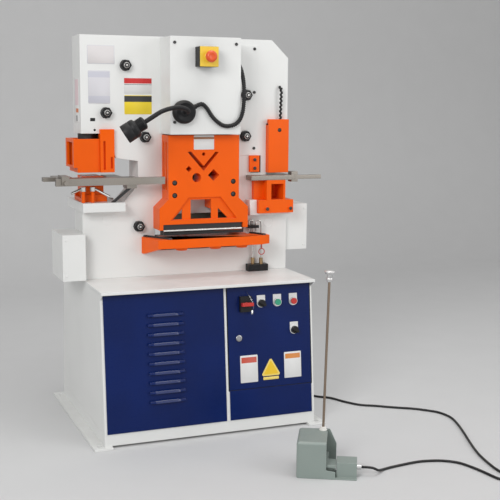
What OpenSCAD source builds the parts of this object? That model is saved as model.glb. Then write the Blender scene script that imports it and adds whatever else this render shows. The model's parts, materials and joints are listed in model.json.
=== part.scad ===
/* [Cabinet] */
// Width of the cabinet top
cabinet_w = 770; // [750:5:790]
// Depth of the cabinet top, front to back
cabinet_d = 640; // [620:5:670]
// Height of the cabinet top above the floor
cabinet_h = 525; // [510:5:560]
// Thickness of the cabinet's sheet metal
sheet_t = 4; // [3:0.5:5]
// Number of louvres in the left panel
louvre_n = 10; // [8:1:11]

/* [Frame] */
// Width of the upright frame
frame_w = 770; // [750:5:790]
// Height of the upright frame above the cabinet top
frame_h = 840; // [830:5:880]
// Thickness of each of the two frame plates
plate_t = 30; // [27:1:33]
// Thickness of the sliding ram plate between them
ram_t = 50; // [46:1:54]
// Thickness of each guide pad beside the ram plate
pad_t = 8; // [6:0.5:10]
// Working stroke of the ram
stroke = 45; // [35:1:45]
// Width of the sheet-metal cover over the cylinder
cover_w = 257; // [250:1:262]
// How far that cover stands out from the frame
cover_out = 118; // [112:1:124]

/* [Tools] */
// Diameter of the punch tip
punch_d = 22; // [10:1:28]
// Length of the flat-bar shear blades
blade_w = 300; // [280:5:304]
// Diameter of the hydraulic cylinder's bore
bore_d = 140; // [130:1:144]
// Width across the flats of the guide-pad lock nuts
nut_af = 34; // [30:1:36]

/* [Controls] */
// Spacing of the push buttons on the door
button_pitch = 61; // [56:0.5:62]
// Diameter of the lamp's magnetic base
lamp_base_d = 80; // [74:1:84]
// Height of the foot switch's hood
hood_h = 116; // [108:1:124]
// Length of the hand rod above the hood
rod_l = 511; // [440:5:540]

/* [Hidden] */
$fn = 48;

// General clearances: a sliding or turning fit, and a visible gap between loose neighbours
slip = 0.05;
gap = 0.3;

// Heights above the cabinet top, and the cabinet's own levels
function h(v) = cabinet_h + v;
cabinet_hw = cabinet_w / 2;
hw = frame_w / 2;
foot_t = 8;
rail_h = 38;
rail_w = 38;
rail_top = foot_t + rail_h;
top_t = 10;
wall_top = cabinet_h - top_t;
front_low = cabinet_d / 2 + 15;
front_high = cabinet_d / 2 - 30;
tilt = atan((front_low - front_high) / (wall_top - rail_top));
slope_len = (wall_top - rail_top) / cos(tilt);
wall_half = cabinet_hw - 2;
foot_x = [cabinet_hw - 28, cabinet_hw + 36];
foot_half_d = cabinet_d / 2 + 32;
anchor_x = cabinet_hw + 13;
anchor_y = cabinet_d / 2 + 2;
anchor_r = 9;

// Panels on the sloping front: ranges across, and up the slope
panel_t = 3;
panel_x = [11 - cabinet_hw, 49];
door_x = [62, cabinet_hw - 12];
low_panel_s = [3, 106];
door_s = [108, slope_len - 5];
panel_s = [3, slope_len - 3];
lip = 14;

// The upright frame: two plates, kept apart by the ram plate and its pads
pad_seat = 3;
ram_y = ram_t / 2;
inner_y = ram_y + slip + pad_t - pad_seat;
face_y = inner_y + plate_t;
frame_top = h(frame_h);
jaw_x = hw - 85;
throat_x = 200 - hw;
bar_t = 12;

// Ram plate: its left and right edges, and its arms
ram_left = 217 - hw;
ram_right = hw - 140;
cyl_x = 27;
cyl_r = bore_d / 2 + 15;
cyl_window_r = cyl_r + 5;
cyl_z = [h(575), frame_top - 25];
pipe_at = [cyl_x - 16, cyl_x + 16];
pipe_y = cyl_r + 20;
pipe_r = 8;
port_z = [cyl_z[0] + 45, cyl_z[1] - 50];
ram_cap_z = h(535);
rod_r = 40;
punch_x = 37 - hw;
punch_arm = 22;
notch_x = hw - 45;
notch_half = 28;
gib_at = [[157 - hw, h(740)], [87 - hw, h(578)], [225 - hw, h(494)], [200 - hw, h(181)],
    [hw - 165, h(642)], [hw - 169, h(495)]];
gib_r = 20;
screw_r = 10;

// Section shear: block, slots and the flat-bar shear under it
block_x = [-98, 165];
block_z = [h(270), h(502)];
block_out = 77;
block_y = face_y + block_out;
section_window_x = [-35, 115];
section_window_z = [h(330), h(460)];
shear_window_z = [h(91), h(220)];
blade_x = 35;
blade_ends = [blade_x - blade_w / 2, blade_x + blade_w / 2];
shear_window_x = blade_ends + [-10, 10];
blade_t = 20;
lower_blade_t = 24.8;
upper_blade_z = [h(165), h(215)];
shear_top = h(143);
table_z_low = h(111);
lower_blade_z = [shear_window_z[0], shear_top];

// Punch station levels
die_top = h(359);
punch_tip_z = h(377);
nut_z = [h(460), h(506)];
bed_z = [h(240), h(272)];
notch_table_z = [h(337), h(354)];
notch_bed_z = [h(209), h(217)];

// Covers, lamp and emergency stop
cover_x = [154 - cover_w, 154];
cover_z = [h(506), frame_top - 3];
cover_y = face_y + cover_out;
cover_t = 2;
lamp_at = [-57, h(583)];
lamp_base_h = 26;
estop_at = [20, frame_top - 71];
estop_box_h = 50;

// Lamp head: mouth centre, and the direction that it faces
lamp_mouth = [-280.5, -245, h(509)];
lamp_aim = [-0.83, 0.16, -0.535];
lamp_len = 80;

// Door controls, in the door's own plane: across, and up the slope
switch_at = [126, slope_len - 65];
button_s = slope_len - 66;
button_x = [187, 187 + button_pitch, 187 + 2 * button_pitch];
mode_at = [310, slope_len - 168];
lock_at = [100, slope_len - 183];
legend_w = 31;
legend_h = 43;

// Foot switch: place on the floor and its turn
pedal_at = [105, -791];
pedal_turn = -28;
hood_l = 120;
hood_top_l = 92;
hood_d = 144;
hood_t = 5;
box_l = 63;
box_d = 62;
box_h = 50;
gland_z = 28;
hand_rod_r = 4;
hand_rod_at = [77, 124];
hand_rod_lean = 1.4;
rod_seat = 0.2;

// Cords: hand-chosen round points along their routes
lamp_cord_r = 7.5;
lamp_cord_path = [[-15.3, -191, 1127.4], [-4, -191, 1132.7], [10, -188, 1134],
    [26, -186.5, 1120], [44, -186, 1094], [64, -186, 1075], [86, -186, 1062], [108, -186, 1060],
    [130, -186, 1066], [148, -186, 1082], [158, -186, 1108], [162, -186, 1140], [164, -184, 1175],
    [166, -172, 1215], [166, -152, 1250], [165, -125, 1275], [164, -95, 1293],
    [164, -78, 1295], [164, -62.05, 1295]];
neck_r = 8;
neck_path = [[-57, -200, h(583)], [-57, -232, h(585)], [-72, -252, h(594)], [-100, -262, h(599)],
    [-130, -264, h(595)], [-160, -263, h(585)], [-190, -261, h(567)], [-213.7, -257.9, h(552)]];
jaw_cord_r = 6;
jaw_cord_path = [[351, -60.05, 1196], [351, -67, 1196], [351, -73, 1193.5], [351, -77, 1187],
    [351, -78, 1178], [351, -77.5, 1162], [351, -76, 1142], [351, -74, 1118], [351, -73, 1098],
    [351, -72.5, 1081.2]];
foot_cord_r = 4;
foot_cord_path = [[399, 180, 62], [416, 180, 62], [438, 170, 46], [453, 148, 24], [466, 122, 9],
    [480, 85, 4.5], [505, 20, 4.5], [531, -42, 4.5], [573, -80, 4.5], [604, -147, 4.5], [640, -202, 4.5],
    [688, -233, 4.5], [726, -262, 4.5], [764, -288, 4.5], [811, -319, 4.5], [851, -360, 4.5],
    [873, -394, 4.5], [880, -453, 4.5], [863, -522, 4.5], [833, -605, 4.5], [790, -712, 4.5],
    [756, -804, 4.5], [737, -876, 4.5], [724, -950, 4.5], [722, -1000, 4.5],
    [712, -1030, 4.5], [696, -1040, 4.5], [682, -1025, 4.5], [675, -985, 4.5],
    [668, -940, 4.5], [658, -900, 4.5], [645, -866, 4.5], [625, -845, 4.5], [600, -828, 4.5],
    [567, -817, 4.5], [535, -811, 4.5], [495, -813, 4.5], [456, -818, 4.5], [417, -824, 4.5],
    [385, -833, 5], [358, -852, 13], [338, -859, 25], [321, -853.8, 28],
    [303.2, -844.3, 28]];

// ---------- shared shapes ----------

// A box given by its range along each axis
module block(x, y, z) {
    translate([x[0], y[0], z[0]]) cube([x[1] - x[0], y[1] - y[0], z[1] - z[0]]);
}

// A flat outline in X and Z, carried from y0 to y1
module slab(y0, y1) {
    translate([0, y1, 0]) rotate([90, 0, 0]) linear_extrude(y1 - y0) children();
}

// Round bars along each axis
module bar_x(x, y, z, r) {
    translate([x[0], y, z]) rotate([0, 90, 0]) cylinder(r = r, h = x[1] - x[0]);
}
module bar_y(x, y, z, r) {
    translate([x, y[0], z]) rotate([-90, 0, 0]) cylinder(r = r, h = y[1] - y[0]);
}
module bar_z(x, y, z, r) {
    translate([x, y, z[0]]) cylinder(r = r, h = z[1] - z[0]);
}

// A hexagon along Y, given across its flats
module hex_y(x, y, z, across) {
    translate([x, y[0], z]) rotate([-90, 0, 0]) cylinder(d = across / cos(30), h = y[1] - y[0], $fn = 6);
}

// A panel screw's round head on a face that looks along -Y
module screw_head(x, y, z, r = 5) {
    bar_y(x, [y - r / 2, y], z, r);
}

// Places its children in the plane of the sloping front: across, outward as -Y, and up the slope
module on_slope() {
    translate([0, -front_low, rail_top]) rotate([-tilt, 0, 0]) children();
}

// The same for the foot switch, from the corner of its hood
module on_pedal() {
    translate([pedal_at[0], pedal_at[1], 0]) rotate(pedal_turn) children();
}

// ---------- a round cord swept along its points ----------

function unit(v) = v / norm(v);
function ahead(p, i) = unit(p[min(i + 1, len(p) - 1)] - p[max(i - 1, 0)]);
function carried(s, t) = unit(s - (s * t) * t);
function sides(p, first) = [for (i = 0, s = carried(first, ahead(p, 0)); i < len(p);
    i = i + 1, s = i < len(p) ? carried(s, ahead(p, i)) : s) s];
module cord(p, r, first = [0, 0, 1], n = 8) {
    s = sides(p, first);
    rings = [for (i = [0 : len(p) - 1]) let (t = ahead(p, i), b = cross(t, s[i]))
        for (k = [0 : n - 1]) p[i] + r * (cos(360 * k / n) * s[i] + sin(360 * k / n) * b)];
    last = (len(p) - 1) * n;
    walls = [for (i = [0 : len(p) - 2], k = [0 : n - 1])
        [i * n + k, (i + 1) * n + k, (i + 1) * n + (k + 1) % n, i * n + (k + 1) % n]];
    polyhedron(rings, concat([[for (k = [0 : n - 1]) k]], walls,
        [[for (k = [n - 1 : -1 : 0]) last + k]]));
}

// ---------- cabinet ----------

module base_frame() {
    color("white") difference() {
        union() {
            for (s = [-1, 1]) {
                block([min(s * foot_x[0], s * foot_x[1]), max(s * foot_x[0], s * foot_x[1])],
                    [-foot_half_d, foot_half_d], [0, foot_t]);
                block([s > 0 ? foot_x[0] : -wall_half, s > 0 ? wall_half : -foot_x[0]],
                    [1 - front_low, front_low - 1], [foot_t - 1, rail_top]);
                block([-foot_x[0] - 1, foot_x[0] + 1],
                    [s > 0 ? front_low - 1 - rail_w : 1 - front_low,
                     s > 0 ? front_low - 1 : 1 - front_low + rail_w], [foot_t, rail_top]);
            }
        }
        for (x = [-anchor_x, anchor_x], y = [-anchor_y, anchor_y])
            bar_z(x, y, [-1, foot_t + 1], anchor_r);
    }
}

// Side outline of the cabinet in Y and Z, kept inside by t
module cabinet_side(t) {
    polygon([[t - front_low, rail_top + t], [t - front_high, wall_top - t],
        [front_high - t, wall_top - t], [front_low - t, rail_top + t]]);
}
module along_x(x0, x1) {
    translate([x0, 0, 0]) rotate([90, 0, 90]) linear_extrude(x1 - x0) children();
}
module cabinet() {
    door_hole_x = [door_x[0] + lip, door_x[1] - lip];
    color("white") difference() {
        union() {
            along_x(-wall_half, wall_half) cabinet_side(0);
            block([-cabinet_hw, cabinet_hw], [-cabinet_d / 2, cabinet_d / 2], [wall_top - 0.5, cabinet_h]);
            bar_x([wall_half - 1, foot_cord_path[0][0]], foot_cord_path[0][1], foot_cord_path[0][2], 9);
            for (x = [-wall_half, wall_half - sheet_t]) along_x(x, x + sheet_t)
                polygon([[-front_high, wall_top - 20], [-cabinet_d / 2, wall_top],
                    [cabinet_d / 2, wall_top], [front_high, wall_top - 20]]);
        }
        along_x(sheet_t - wall_half, wall_half - sheet_t) cabinet_side(sheet_t);
        on_slope() {
            block([panel_x[0] + lip, panel_x[1] - lip], [-20, 30],
                [panel_s[0] + lip, panel_s[1] - lip]);
            block(door_hole_x, [-20, 30], [door_s[0] + lip, door_s[1] - lip]);
            block(door_hole_x, [-20, 30], [low_panel_s[0] + lip, low_panel_s[1] - lip]);
        }
        for (x = pipe_at) bar_z(x, pipe_y, [wall_top - 20, cabinet_h + 1], pipe_r + 2);
    }
}

module louvre(x, s, w, d) {
    translate([x, -panel_t + 0.5, s]) difference() {
        rotate([0, 90, 0]) cylinder(r = d, h = w);
        translate([-1, 0, -d - 1]) cube([w + 2, d + 1, 2 * d + 2]);
        translate([-1, -d - 1, -d - 1]) cube([w + 2, d + 2, d + 1]);
    }
}
module front_panels() {
    louvre_w = 126;
    louvre_x = -226;
    louvre_pitch = 32.6;
    first_s = (slope_len - louvre_pitch * (louvre_n - 1)) / 2 + 3;
    color("midnightblue") on_slope() difference() {
        union() {
            block(panel_x, [-panel_t, 0], panel_s);
            for (i = [0 : louvre_n - 1]) louvre(louvre_x, first_s + i * louvre_pitch, louvre_w, 11);
        }
        for (i = [0 : louvre_n - 1])
            block([louvre_x + 6, louvre_x + louvre_w - 6], [-panel_t - 6, 1],
                [first_s + i * louvre_pitch - 1, first_s + i * louvre_pitch + 4]);
    }
    color("midnightblue") on_slope() block(door_x, [-panel_t, 0], low_panel_s);
}

// ---------- inside the cabinet ----------

tank_x = [-330, 75];
tank_y = [-210, 190];
tank_top = rail_top + sheet_t + 200;
valve_top = tank_top + 60;
motor_at = [-230, -10];
motor_r = 85;
motor_z = tank_top + 90;
module oil_tank() {
    color("gray") {
        difference() {
            block(tank_x, tank_y, [rail_top + sheet_t, tank_top]);
            block([tank_x[0] + 3, tank_x[1] - 3], [tank_y[0] + 3, tank_y[1] - 3],
                [rail_top + sheet_t + 3, tank_top - 5]);
        }
        block([pipe_at[0] - 20, pipe_at[1] + 20], [pipe_y - 45, pipe_y + 30],
            [tank_top - 1, valve_top]);
        bar_z(tank_x[1] - 50, tank_y[0] + 60, [tank_top - 1, tank_top + 30], 22);
    }
}
module motor_body() {
    mx = [motor_at[0] - 80, motor_at[0] + 100];
    color("dimgray") {
        difference() {
            union() {
                bar_x(mx, motor_at[1], motor_z, motor_r);
                block([mx[0] + 20, mx[1] - 20], [motor_at[1] - 70, motor_at[1] + 70],
                    [tank_top, motor_z - 40]);
                bar_x([mx[1] - 1, mx[1] + 70], motor_at[1], motor_z, 42);
            }
            bar_x([mx[0] + 10, mx[1] - 12], motor_at[1], motor_z, motor_r - 14);
            bar_x([mx[0] - 1, mx[1] + 30], motor_at[1], motor_z, 12 + slip);
        }
    }
}
module motor_rotor() {
    mx = [motor_at[0] - 80, motor_at[0] + 100];
    color("silver") union() {
        bar_x([mx[0] + 30, mx[1] - 32], motor_at[1], motor_z, motor_r - 15);
        bar_x([mx[0] - 10, mx[1] + 30], motor_at[1], motor_z, 12);
    }
}
module electrical_panel() {
    panel = [110, 340];
    back_y = -60;
    color("lightgray") {
        block(panel, [back_y, back_y + 3], [rail_top + sheet_t, wall_top - 40]);
        block([panel[0] + 60, panel[1] - 20], [back_y + 3, back_y + 40],
            [rail_top + sheet_t, rail_top + sheet_t + 4]);
    }
    color("black") {
        for (i = [0 : 3])
            block([130 + i * 50, 170 + i * 50], [back_y - 70, back_y], [wall_top - 170, wall_top - 90]);
        block([130, 320], [back_y - 45, back_y], [wall_top - 260, wall_top - 225]);
        block([135, 215], [back_y - 80, back_y], [rail_top + 60, rail_top + 140]);
    }
}

// ---------- upright frame ----------

module frame_outline() {
    difference() {
        polygon([[-hw, cabinet_h], [-hw, bed_z[0]], [throat_x - 78, bed_z[0]], [throat_x, h(330)],
            [throat_x, h(410)], [throat_x - 80, h(422)], [throat_x - 105, h(507)], [-hw, h(507)],
            [-hw, frame_top], [hw - 65, frame_top], [hw, frame_top - 63], [hw, h(540)],
            [jaw_x, h(540)], [jaw_x, notch_bed_z[0]], [hw, notch_bed_z[0]], [hw, cabinet_h]]);
        translate([cyl_x - cyl_window_r, cyl_z[0] - 10])
            square([2 * cyl_window_r, cyl_z[1] - cyl_z[0] + 10]);
        translate([cyl_x - rod_r - 3, ram_cap_z + 15 - stroke])
            square([2 * rod_r + 6, cyl_z[0] - ram_cap_z + stroke - 20]);
        translate([section_window_x[0], section_window_z[0]])
            square([section_window_x[1] - section_window_x[0],
                section_window_z[1] - section_window_z[0]]);
        translate([shear_window_x[0], shear_window_z[0]])
            square([shear_window_x[1] - shear_window_x[0], shear_window_z[1] - shear_window_z[0]]);
    }
}
module frame_front_plate() {
    color("white") difference() {
        slab(-face_y, -inner_y) frame_outline();
        for (p = gib_at) {
            bar_y(p[0], [-inner_y - pad_seat, -inner_y + 1], p[1], gib_r);
            bar_y(p[0], [-face_y - 1, -inner_y], p[1], screw_r);
        }
        block([33 - hw, 50 - hw], [-face_y - 1, -face_y + 12], [h(549), h(560)]);
        bar_y(48 - hw, [-face_y - 1, -face_y + 8], h(519), 4);
    }
}
module frame_rear_plate() {
    color("white") difference() {
        slab(inner_y, face_y) frame_outline();
        for (p = gib_at)
            bar_y(p[0], [inner_y - 1, inner_y + pad_seat], p[1], gib_r);
    }
}

// Bars welded between the two plates, round the ram plate
module frame_spacers() {
    y = inner_y;
    color("white") {
        slab(-y, y) polygon([[-hw, cabinet_h], [-hw, cabinet_h + 40], [hw, cabinet_h + 40],
            [hw, cabinet_h]]);
        block([-hw, bar_t - hw], [-y, y], [h(40), bed_z[0]]);
        block([100 - hw, throat_x - 85], [-y, y], [h(40), bed_z[0]]);
        slab(-y, y) polygon([[throat_x - 85, bed_z[0] - 20], [throat_x - 78, bed_z[0]],
            [throat_x, h(330)], [throat_x, h(410)], [throat_x - 80, h(422)],
            [throat_x - 105, h(507)], [throat_x - 97, h(512)], [throat_x - 72, h(431)],
            [throat_x + bar_t, h(419)], [throat_x + bar_t, h(326)],
            [throat_x - 72 + bar_t, bed_z[0] - 20]]);
        block([-hw, bar_t - hw], [-y, y], [h(507), frame_top]);
        block([-hw, hw - 70], [-y, y], [frame_top - bar_t, frame_top]);
        slab(-y, y) polygon([[hw - 70, frame_top - bar_t], [hw - 70, frame_top],
            [hw - 65, frame_top], [hw, frame_top - 63], [hw - bar_t, frame_top - 63]]);
        block([jaw_x - bar_t, hw], [-y, y], [h(40), notch_bed_z[0]]);
        block([jaw_x - bar_t, jaw_x], [-y, y], [notch_bed_z[0], h(540)]);
    }
}

// The two beds that carry the die holder and the notch die
bracket_x = [jaw_x - 78, jaw_x - 50 - gap];
module bed_plates() {
    color("white") {
        difference() {
            block([-hw - 8, throat_x - 59], [-face_y - 50, face_y + 85], bed_z);
            bar_z(punch_x, 0, [bed_z[0] - 1, bed_z[1] + 1], 22);
            block([throat_x - 78, throat_x], [-face_y, face_y], [bed_z[0] - 1, bed_z[1] + 1]);
        }
        difference() {
            block([bracket_x[0], hw], [-face_y - 40, face_y + 40], notch_bed_z);
            block([notch_x - notch_half - 4, notch_x + notch_half + 4], [-inner_y, inner_y],
                [notch_bed_z[0] - 1, notch_bed_z[1] + 1]);
            block([bracket_x[0] - 1, jaw_x], [-face_y, face_y],
                [notch_bed_z[0] - 1, notch_bed_z[1] + 1]);
        }
        block(bracket_x, [-face_y - 40, -face_y], [notch_bed_z[1] - 1, notch_bed_z[1] + 48]);
    }
}

// ---------- hydraulic cylinder and the ram plate ----------

module cylinder_barrel() {
    z = cyl_z;
    color("dimgray") {
        difference() {
            union() {
                bar_z(cyl_x, 0, z, cyl_r);
                block([cyl_x - cyl_window_r, cyl_x + cyl_window_r], [-face_y, face_y],
                    [z[1] - 30, z[1]]);
            }
            bar_z(cyl_x, 0, [z[0] + 30, z[1] - 30], bore_d / 2);
            bar_z(cyl_x, 0, [z[0] - 1, z[0] + 31], rod_r + slip);
        }
        for (i = [0, 1]) {
            bar_y(pipe_at[i], [cyl_r - 4, pipe_y + 12], port_z[i], 12);
            bar_z(pipe_at[i], pipe_y, [port_z[i] - 24, port_z[i]], 12);
        }
    }
}
module pressure_pipes() {
    color("silver") for (i = [0, 1])
        bar_z(pipe_at[i], pipe_y, [valve_top, port_z[i] - 24], pipe_r);
}
module cylinder_rod() {
    piston_z = [cyl_z[1] - 90, cyl_z[1] - 32];
    color("silver") {
        bar_z(cyl_x, 0, piston_z, bore_d / 2 - slip);
        bar_z(cyl_x, 0, [ram_cap_z + 20, piston_z[0] + 1], rod_r);
        block([cyl_x - 60, cyl_x + 60], [-ram_y, ram_y], [ram_cap_z, ram_cap_z + 21]);
    }
}

// Cut-outs for angle, round and square bar, shared by the block and the ram plate
module bar_shapes() {
    angle_w = 12;
    polygon([[-27, h(444)], [-27 + angle_w, h(444) + 2], [32, h(377) + 1.45 * angle_w],
        [88 - angle_w, h(442) + 2], [88, h(442)], [32, h(377)]]);
    translate([-23, h(385)]) rotate(45) square(15.5, center = true);
    translate([69, h(362)]) rotate(45) square(30, center = true);
    translate([6, h(354)]) circle(16);
}
module ram_plate() {
    arm = [punch_x - 20, punch_x + 24];
    tool = [notch_x - notch_half, notch_x + notch_half];
    color("gray") difference() {
        slab(-ram_y, ram_y) polygon([[arm[0], frame_top - 30], [cyl_x - cyl_window_r - 12, frame_top - 30],
            [cyl_x - cyl_window_r - 12, ram_cap_z], [cyl_x + cyl_window_r + 12, ram_cap_z],
            [cyl_x + cyl_window_r + 12, h(715)], [tool[1] + 4, h(715)], [tool[1] + 4, h(587)],
            [ram_right, h(587)], [ram_right, upper_blade_z[0]], [ram_left + 38, upper_blade_z[0]],
            [ram_left + 38, h(150)], [ram_left - 37, h(150)], [ram_left - 37, h(250)],
            [ram_left, h(265)], [ram_left, h(560)], [arm[1], h(560)], [arm[1], nut_z[1]],
            [arm[0], nut_z[1]]]);
        block(blade_ends + [-0.1, 0.1], [-ram_y - 1, blade_t - ram_y],
            [upper_blade_z[0] - 1, upper_blade_z[1]]);
        slab(-ram_y - 1, ram_y + 1) bar_shapes();
    }
}
module gib_screws() {
    color("silver") for (x = lever_x) bar_z(x, lever_y, [bed_z[1], lever_z[1] + 1], stud_r);
    color("silver") for (p = gib_at)
        bar_y(p[0], [-face_y - 26, -inner_y - pad_seat], p[1], screw_r);
    color("black") for (p = gib_at) difference() {
        union() {
            hex_y(p[0], [-face_y - 18, -face_y - 3], p[1], nut_af);
            bar_y(p[0], [-face_y - 3, -face_y], p[1], nut_af / 2 + 2);
        }
        bar_y(p[0], [-face_y - 19, -face_y + 1], p[1], screw_r);
    }
}
module gib_pads() {
    color("goldenrod") for (p = gib_at, s = [-1, 1])
        bar_y(p[0], s < 0 ? [-inner_y - pad_seat, -ram_y - slip] : [ram_y + slip, inner_y + pad_seat],
            p[1], gib_r);
}

// ---------- punch station ----------

module punch_holder() {
    color("dimgray") difference() {
        bar_z(punch_x, 0, nut_z, 35);
        bar_z(punch_x, 0, [nut_z[0] - 1, nut_z[0] + 26], punch_arm / 2 + 7);
    }
}
module punch() {
    color("silver") {
        bar_z(punch_x, 0, [nut_z[0], nut_z[0] + 26], punch_arm / 2 + 7);
        bar_z(punch_x, 0, [nut_z[0] - 30, nut_z[0]], max(punch_arm, punch_d) / 2 + 2);
        bar_z(punch_x, 0, [punch_tip_z, nut_z[0] - 30], punch_d / 2);
    }
}
die_seat_z = die_top - 24;
die_r = 28;
module die_holder() {
    x = punch_x + 7;
    color("dimgray") difference() {
        union() {
            block([x - 45, x + 44], [-60, 60], [bed_z[1], h(297)]);
            block([x - 34, x + 33], [-55, 55], [h(297), die_top]);
        }
        bar_z(punch_x, 0, [die_seat_z, die_top + 1], die_r);
        bar_z(punch_x, 0, [bed_z[1] - 1, die_top], 20);
        block([x - 46, x - 33], [-45, 45], [h(285), h(297) + 1]);
    }
}
module die() {
    color("silver") difference() {
        bar_z(punch_x, 0, [die_seat_z, die_top], die_r);
        bar_z(punch_x, 0, [die_seat_z - 1, die_top + 1], punch_d / 2 + 0.6);
        bar_z(punch_x, 0, [die_seat_z - 1, die_top - 8], punch_d / 2 + 2.5);
    }
}

// Levers that lock the die holder to the bed: a stud, a hub and a short handle
lever_y = -85;
lever_x = [punch_x - 38, punch_x - 5];
lever_hub_r = 9;
stud_r = 6;
lever_z = [bed_z[1] + 39, bed_z[1] + 54];
module lever(x, dx, dz) {
    color("dimgray") {
        difference() {
            union() {
                bar_z(x, lever_y, lever_z, lever_hub_r);
                translate([x + 8 * sign(dx), lever_y, lever_z[1] - 7])
                    rotate([0, 90 + atan(-dz / abs(dx)), atan2(-26, dx)])
                        cylinder(r = 4.5, h = norm([dx, dz, 26]) - 12);
            }
            bar_z(x, lever_y, [lever_z[0] - 1, lever_z[1] + 1], stud_r + slip);
        }
    }
}
module clamp_lever_left() {
    lever(lever_x[0], -47, -14);
}
module clamp_lever_right() {
    lever(lever_x[1], 57, -30);
}

// Stripper box round the punch, and the brackets that carry it on each side of the head
strip_x = [punch_x - 65, punch_x + 26];
strip_z = [h(374), h(489)];
cheek_x = [strip_x[1] + gap, strip_x[1] + 9];
module stripper_bracket() {
    color("white") for (s = [0, 1]) mirror([0, s, 0]) difference() {
        union() {
            block([cheek_x[0], throat_x - 87], [face_y, face_y + 15], [h(422), h(522)]);
            block(cheek_x, [face_y - 10, face_y + 15], [strip_z[0], h(506)]);
            block([cheek_x[0], throat_x - 87], [face_y, face_y + 15], [strip_z[0], h(423)]);
        }
        for (p = [[throat_x - 122, h(383), h(481)], [throat_x - 97, h(387), h(426)]])
            block([p[0] - 3.5, p[0] + 3.5], [face_y + 4, face_y + 16], [p[1], p[2]]);
    }
}
module stripper_box() {
    color("orangered") difference() {
        block(strip_x, [-66, 66], strip_z);
        block([strip_x[0] + 10, strip_x[1] + 1], [-56, 56], [strip_z[0] + 16, strip_z[1] + 1]);
        bar_z(punch_x, 0, [strip_z[0] - 1, strip_z[0] + 17], punch_d / 2 + 4);
        block([punch_x, strip_x[1] + 1], [-punch_d / 2 - 4, punch_d / 2 + 4],
            [strip_z[0] - 1, strip_z[0] + 17]);
        block([strip_x[0] - 1, strip_x[0] + 11], [-46, 46], [strip_z[0] + 24, strip_z[1] - 12]);
        block([strip_x[0] - 1, strip_x[0] + 13], [-67, 67], [strip_z[0] - 1, strip_z[0] + 16]);
    }
}

// Gauging table in front of the punch, on an arm and a post
table_x = [-487, -108];
table_bar_y = [-130, -110];
table_z = [h(334), h(359)];
rest_z = die_top - 1;
table_plate_t = 14;
table_back = 40;
brace_x = [throat_x - 106, throat_x - 1];
brace_w = 14;
module punch_table() {
    left = table_x[0] + 13;
    right = throat_x - 16;
    notch = [table_x[0] + 70, punch_x + 52];
    color("dimgray") {
        block(table_x, table_bar_y, table_z);
        translate([0, 0, rest_z - table_plate_t]) linear_extrude(table_plate_t)
            polygon([[left, table_bar_y[1] - 5], [right, table_bar_y[1] - 5],
                [right, -face_y - gap], [throat_x - 59, -face_y - gap], [throat_x - 59, table_back],
                [notch[1], table_back], [notch[1], -62], [notch[0], -62], [notch[0], table_back],
                [left, table_back], [left, -14], [left - 40, -14], [left - 40, -46], [left, -46]]);
        block([throat_x - 55, right - 4], [table_bar_y[1] - 4, -face_y],
            [rest_z - 38, rest_z - table_plate_t + 1]);
        slab(-97, -87) polygon([[brace_x[0], bed_z[1]], [brace_x[0] + brace_w, bed_z[1]],
            [brace_x[1], rest_z - table_plate_t + 1], [brace_x[1] - brace_w, rest_z - table_plate_t + 1]]);
    }
}
module table_stop() {
    x = table_x[0] + 18;
    color("gray") {
        block([x, x + 24], [table_bar_y[0] - 8, -70], [table_z[1], table_z[1] + 9]);
        block([x, x + 24], [table_bar_y[0] - 8, table_bar_y[0] - slip],
            [table_z[0] + 4, table_z[1] + 1]);
        bar_y(x + 12, [table_bar_y[0] - 22, table_bar_y[0] - 7], table_z[0] + 11, 7);
    }
}

// ---------- section shear and flat-bar shear ----------

guard_z = [h(172), h(279)];
guard_x = [-131, 200];
guard_lip_z = h(191);
block_screws = [[-75, h(337)], [-75, h(293)], [143, h(338)], [143, h(293)]];
module section_block() {
    color("orangered") {
        difference() {
            union() {
                block(block_x, [-block_y, -face_y], block_z);
                slab(-block_y, -face_y) polygon([[block_x[0], block_z[0] + 10],
                    [block_x[0], guard_z[1]], [guard_x[0], h(248)], [guard_x[0], guard_z[0]],
                    [guard_x[1], guard_z[0]], [guard_x[1], h(247)], [block_x[1], guard_z[1]],
                    [block_x[1], block_z[0]]]);
            }
            slab(-block_y - 1, -face_y + 1) bar_shapes();
            slab(-block_y - 1, -block_y + 8)
                polygon([[-24, h(284)], [96, h(284)], [157, h(206)], [-90, h(206)]]);
            block([-14, 62], [-block_y - 1, -face_y + 1], [h(208), h(276)]);
            slab(-block_y - 1, -block_y + 20)
                polygon([[-80, h(208)], [-46, h(244)], [-46, h(208)]]);
            slab(-block_y - 1, -block_y + 20)
                polygon([[88, h(208)], [88, h(244)], [125, h(208)]]);
            block(guard_x + [12, -12], [-block_y + 12, -face_y + 1], [guard_z[0] - 1, h(242)]);
            block(blade_ends + [-2, -4], [-block_y - 1, -block_y + 13], [guard_z[0] - 1, guard_lip_z]);
            for (p = block_screws) bar_y(p[0], [-block_y - 1, -block_y + 11], p[1], 9);
            for (y = [-block_y + 20, -block_y + 48])
                block([block_x[0] - 1, block_x[0] + 12], [y, y + 11], [h(310), h(480)]);
            bar_y(32, [-block_y - 1, -face_y + 1], h(436), 6);
        }
        for (p = block_screws) bar_y(p[0], [-block_y + 3, -block_y + 11.5], p[1], 7.5);
    }
}
module hold_down_bar() {
    front = -block_y + 8;
    color("dimgray") {
        block(guard_x + [12, -12], [-block_y + 12, -block_y + 34], [h(153), guard_lip_z]);
        block(blade_ends + [0, -6], [front, -block_y + 13], [h(153), guard_lip_z]);
    }
    color("silver") bar_x(blade_ends + [0, -6], front, h(168), 5);
}
module upper_blade() {
    color("silver") block(blade_ends, [-ram_y, blade_t - ram_y], upper_blade_z);
}
module lower_blade() {
    color("silver") block(blade_ends, [-ram_y - 0.2 - lower_blade_t, -ram_y - 0.2], lower_blade_z);
}
table_y = 172;
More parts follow.
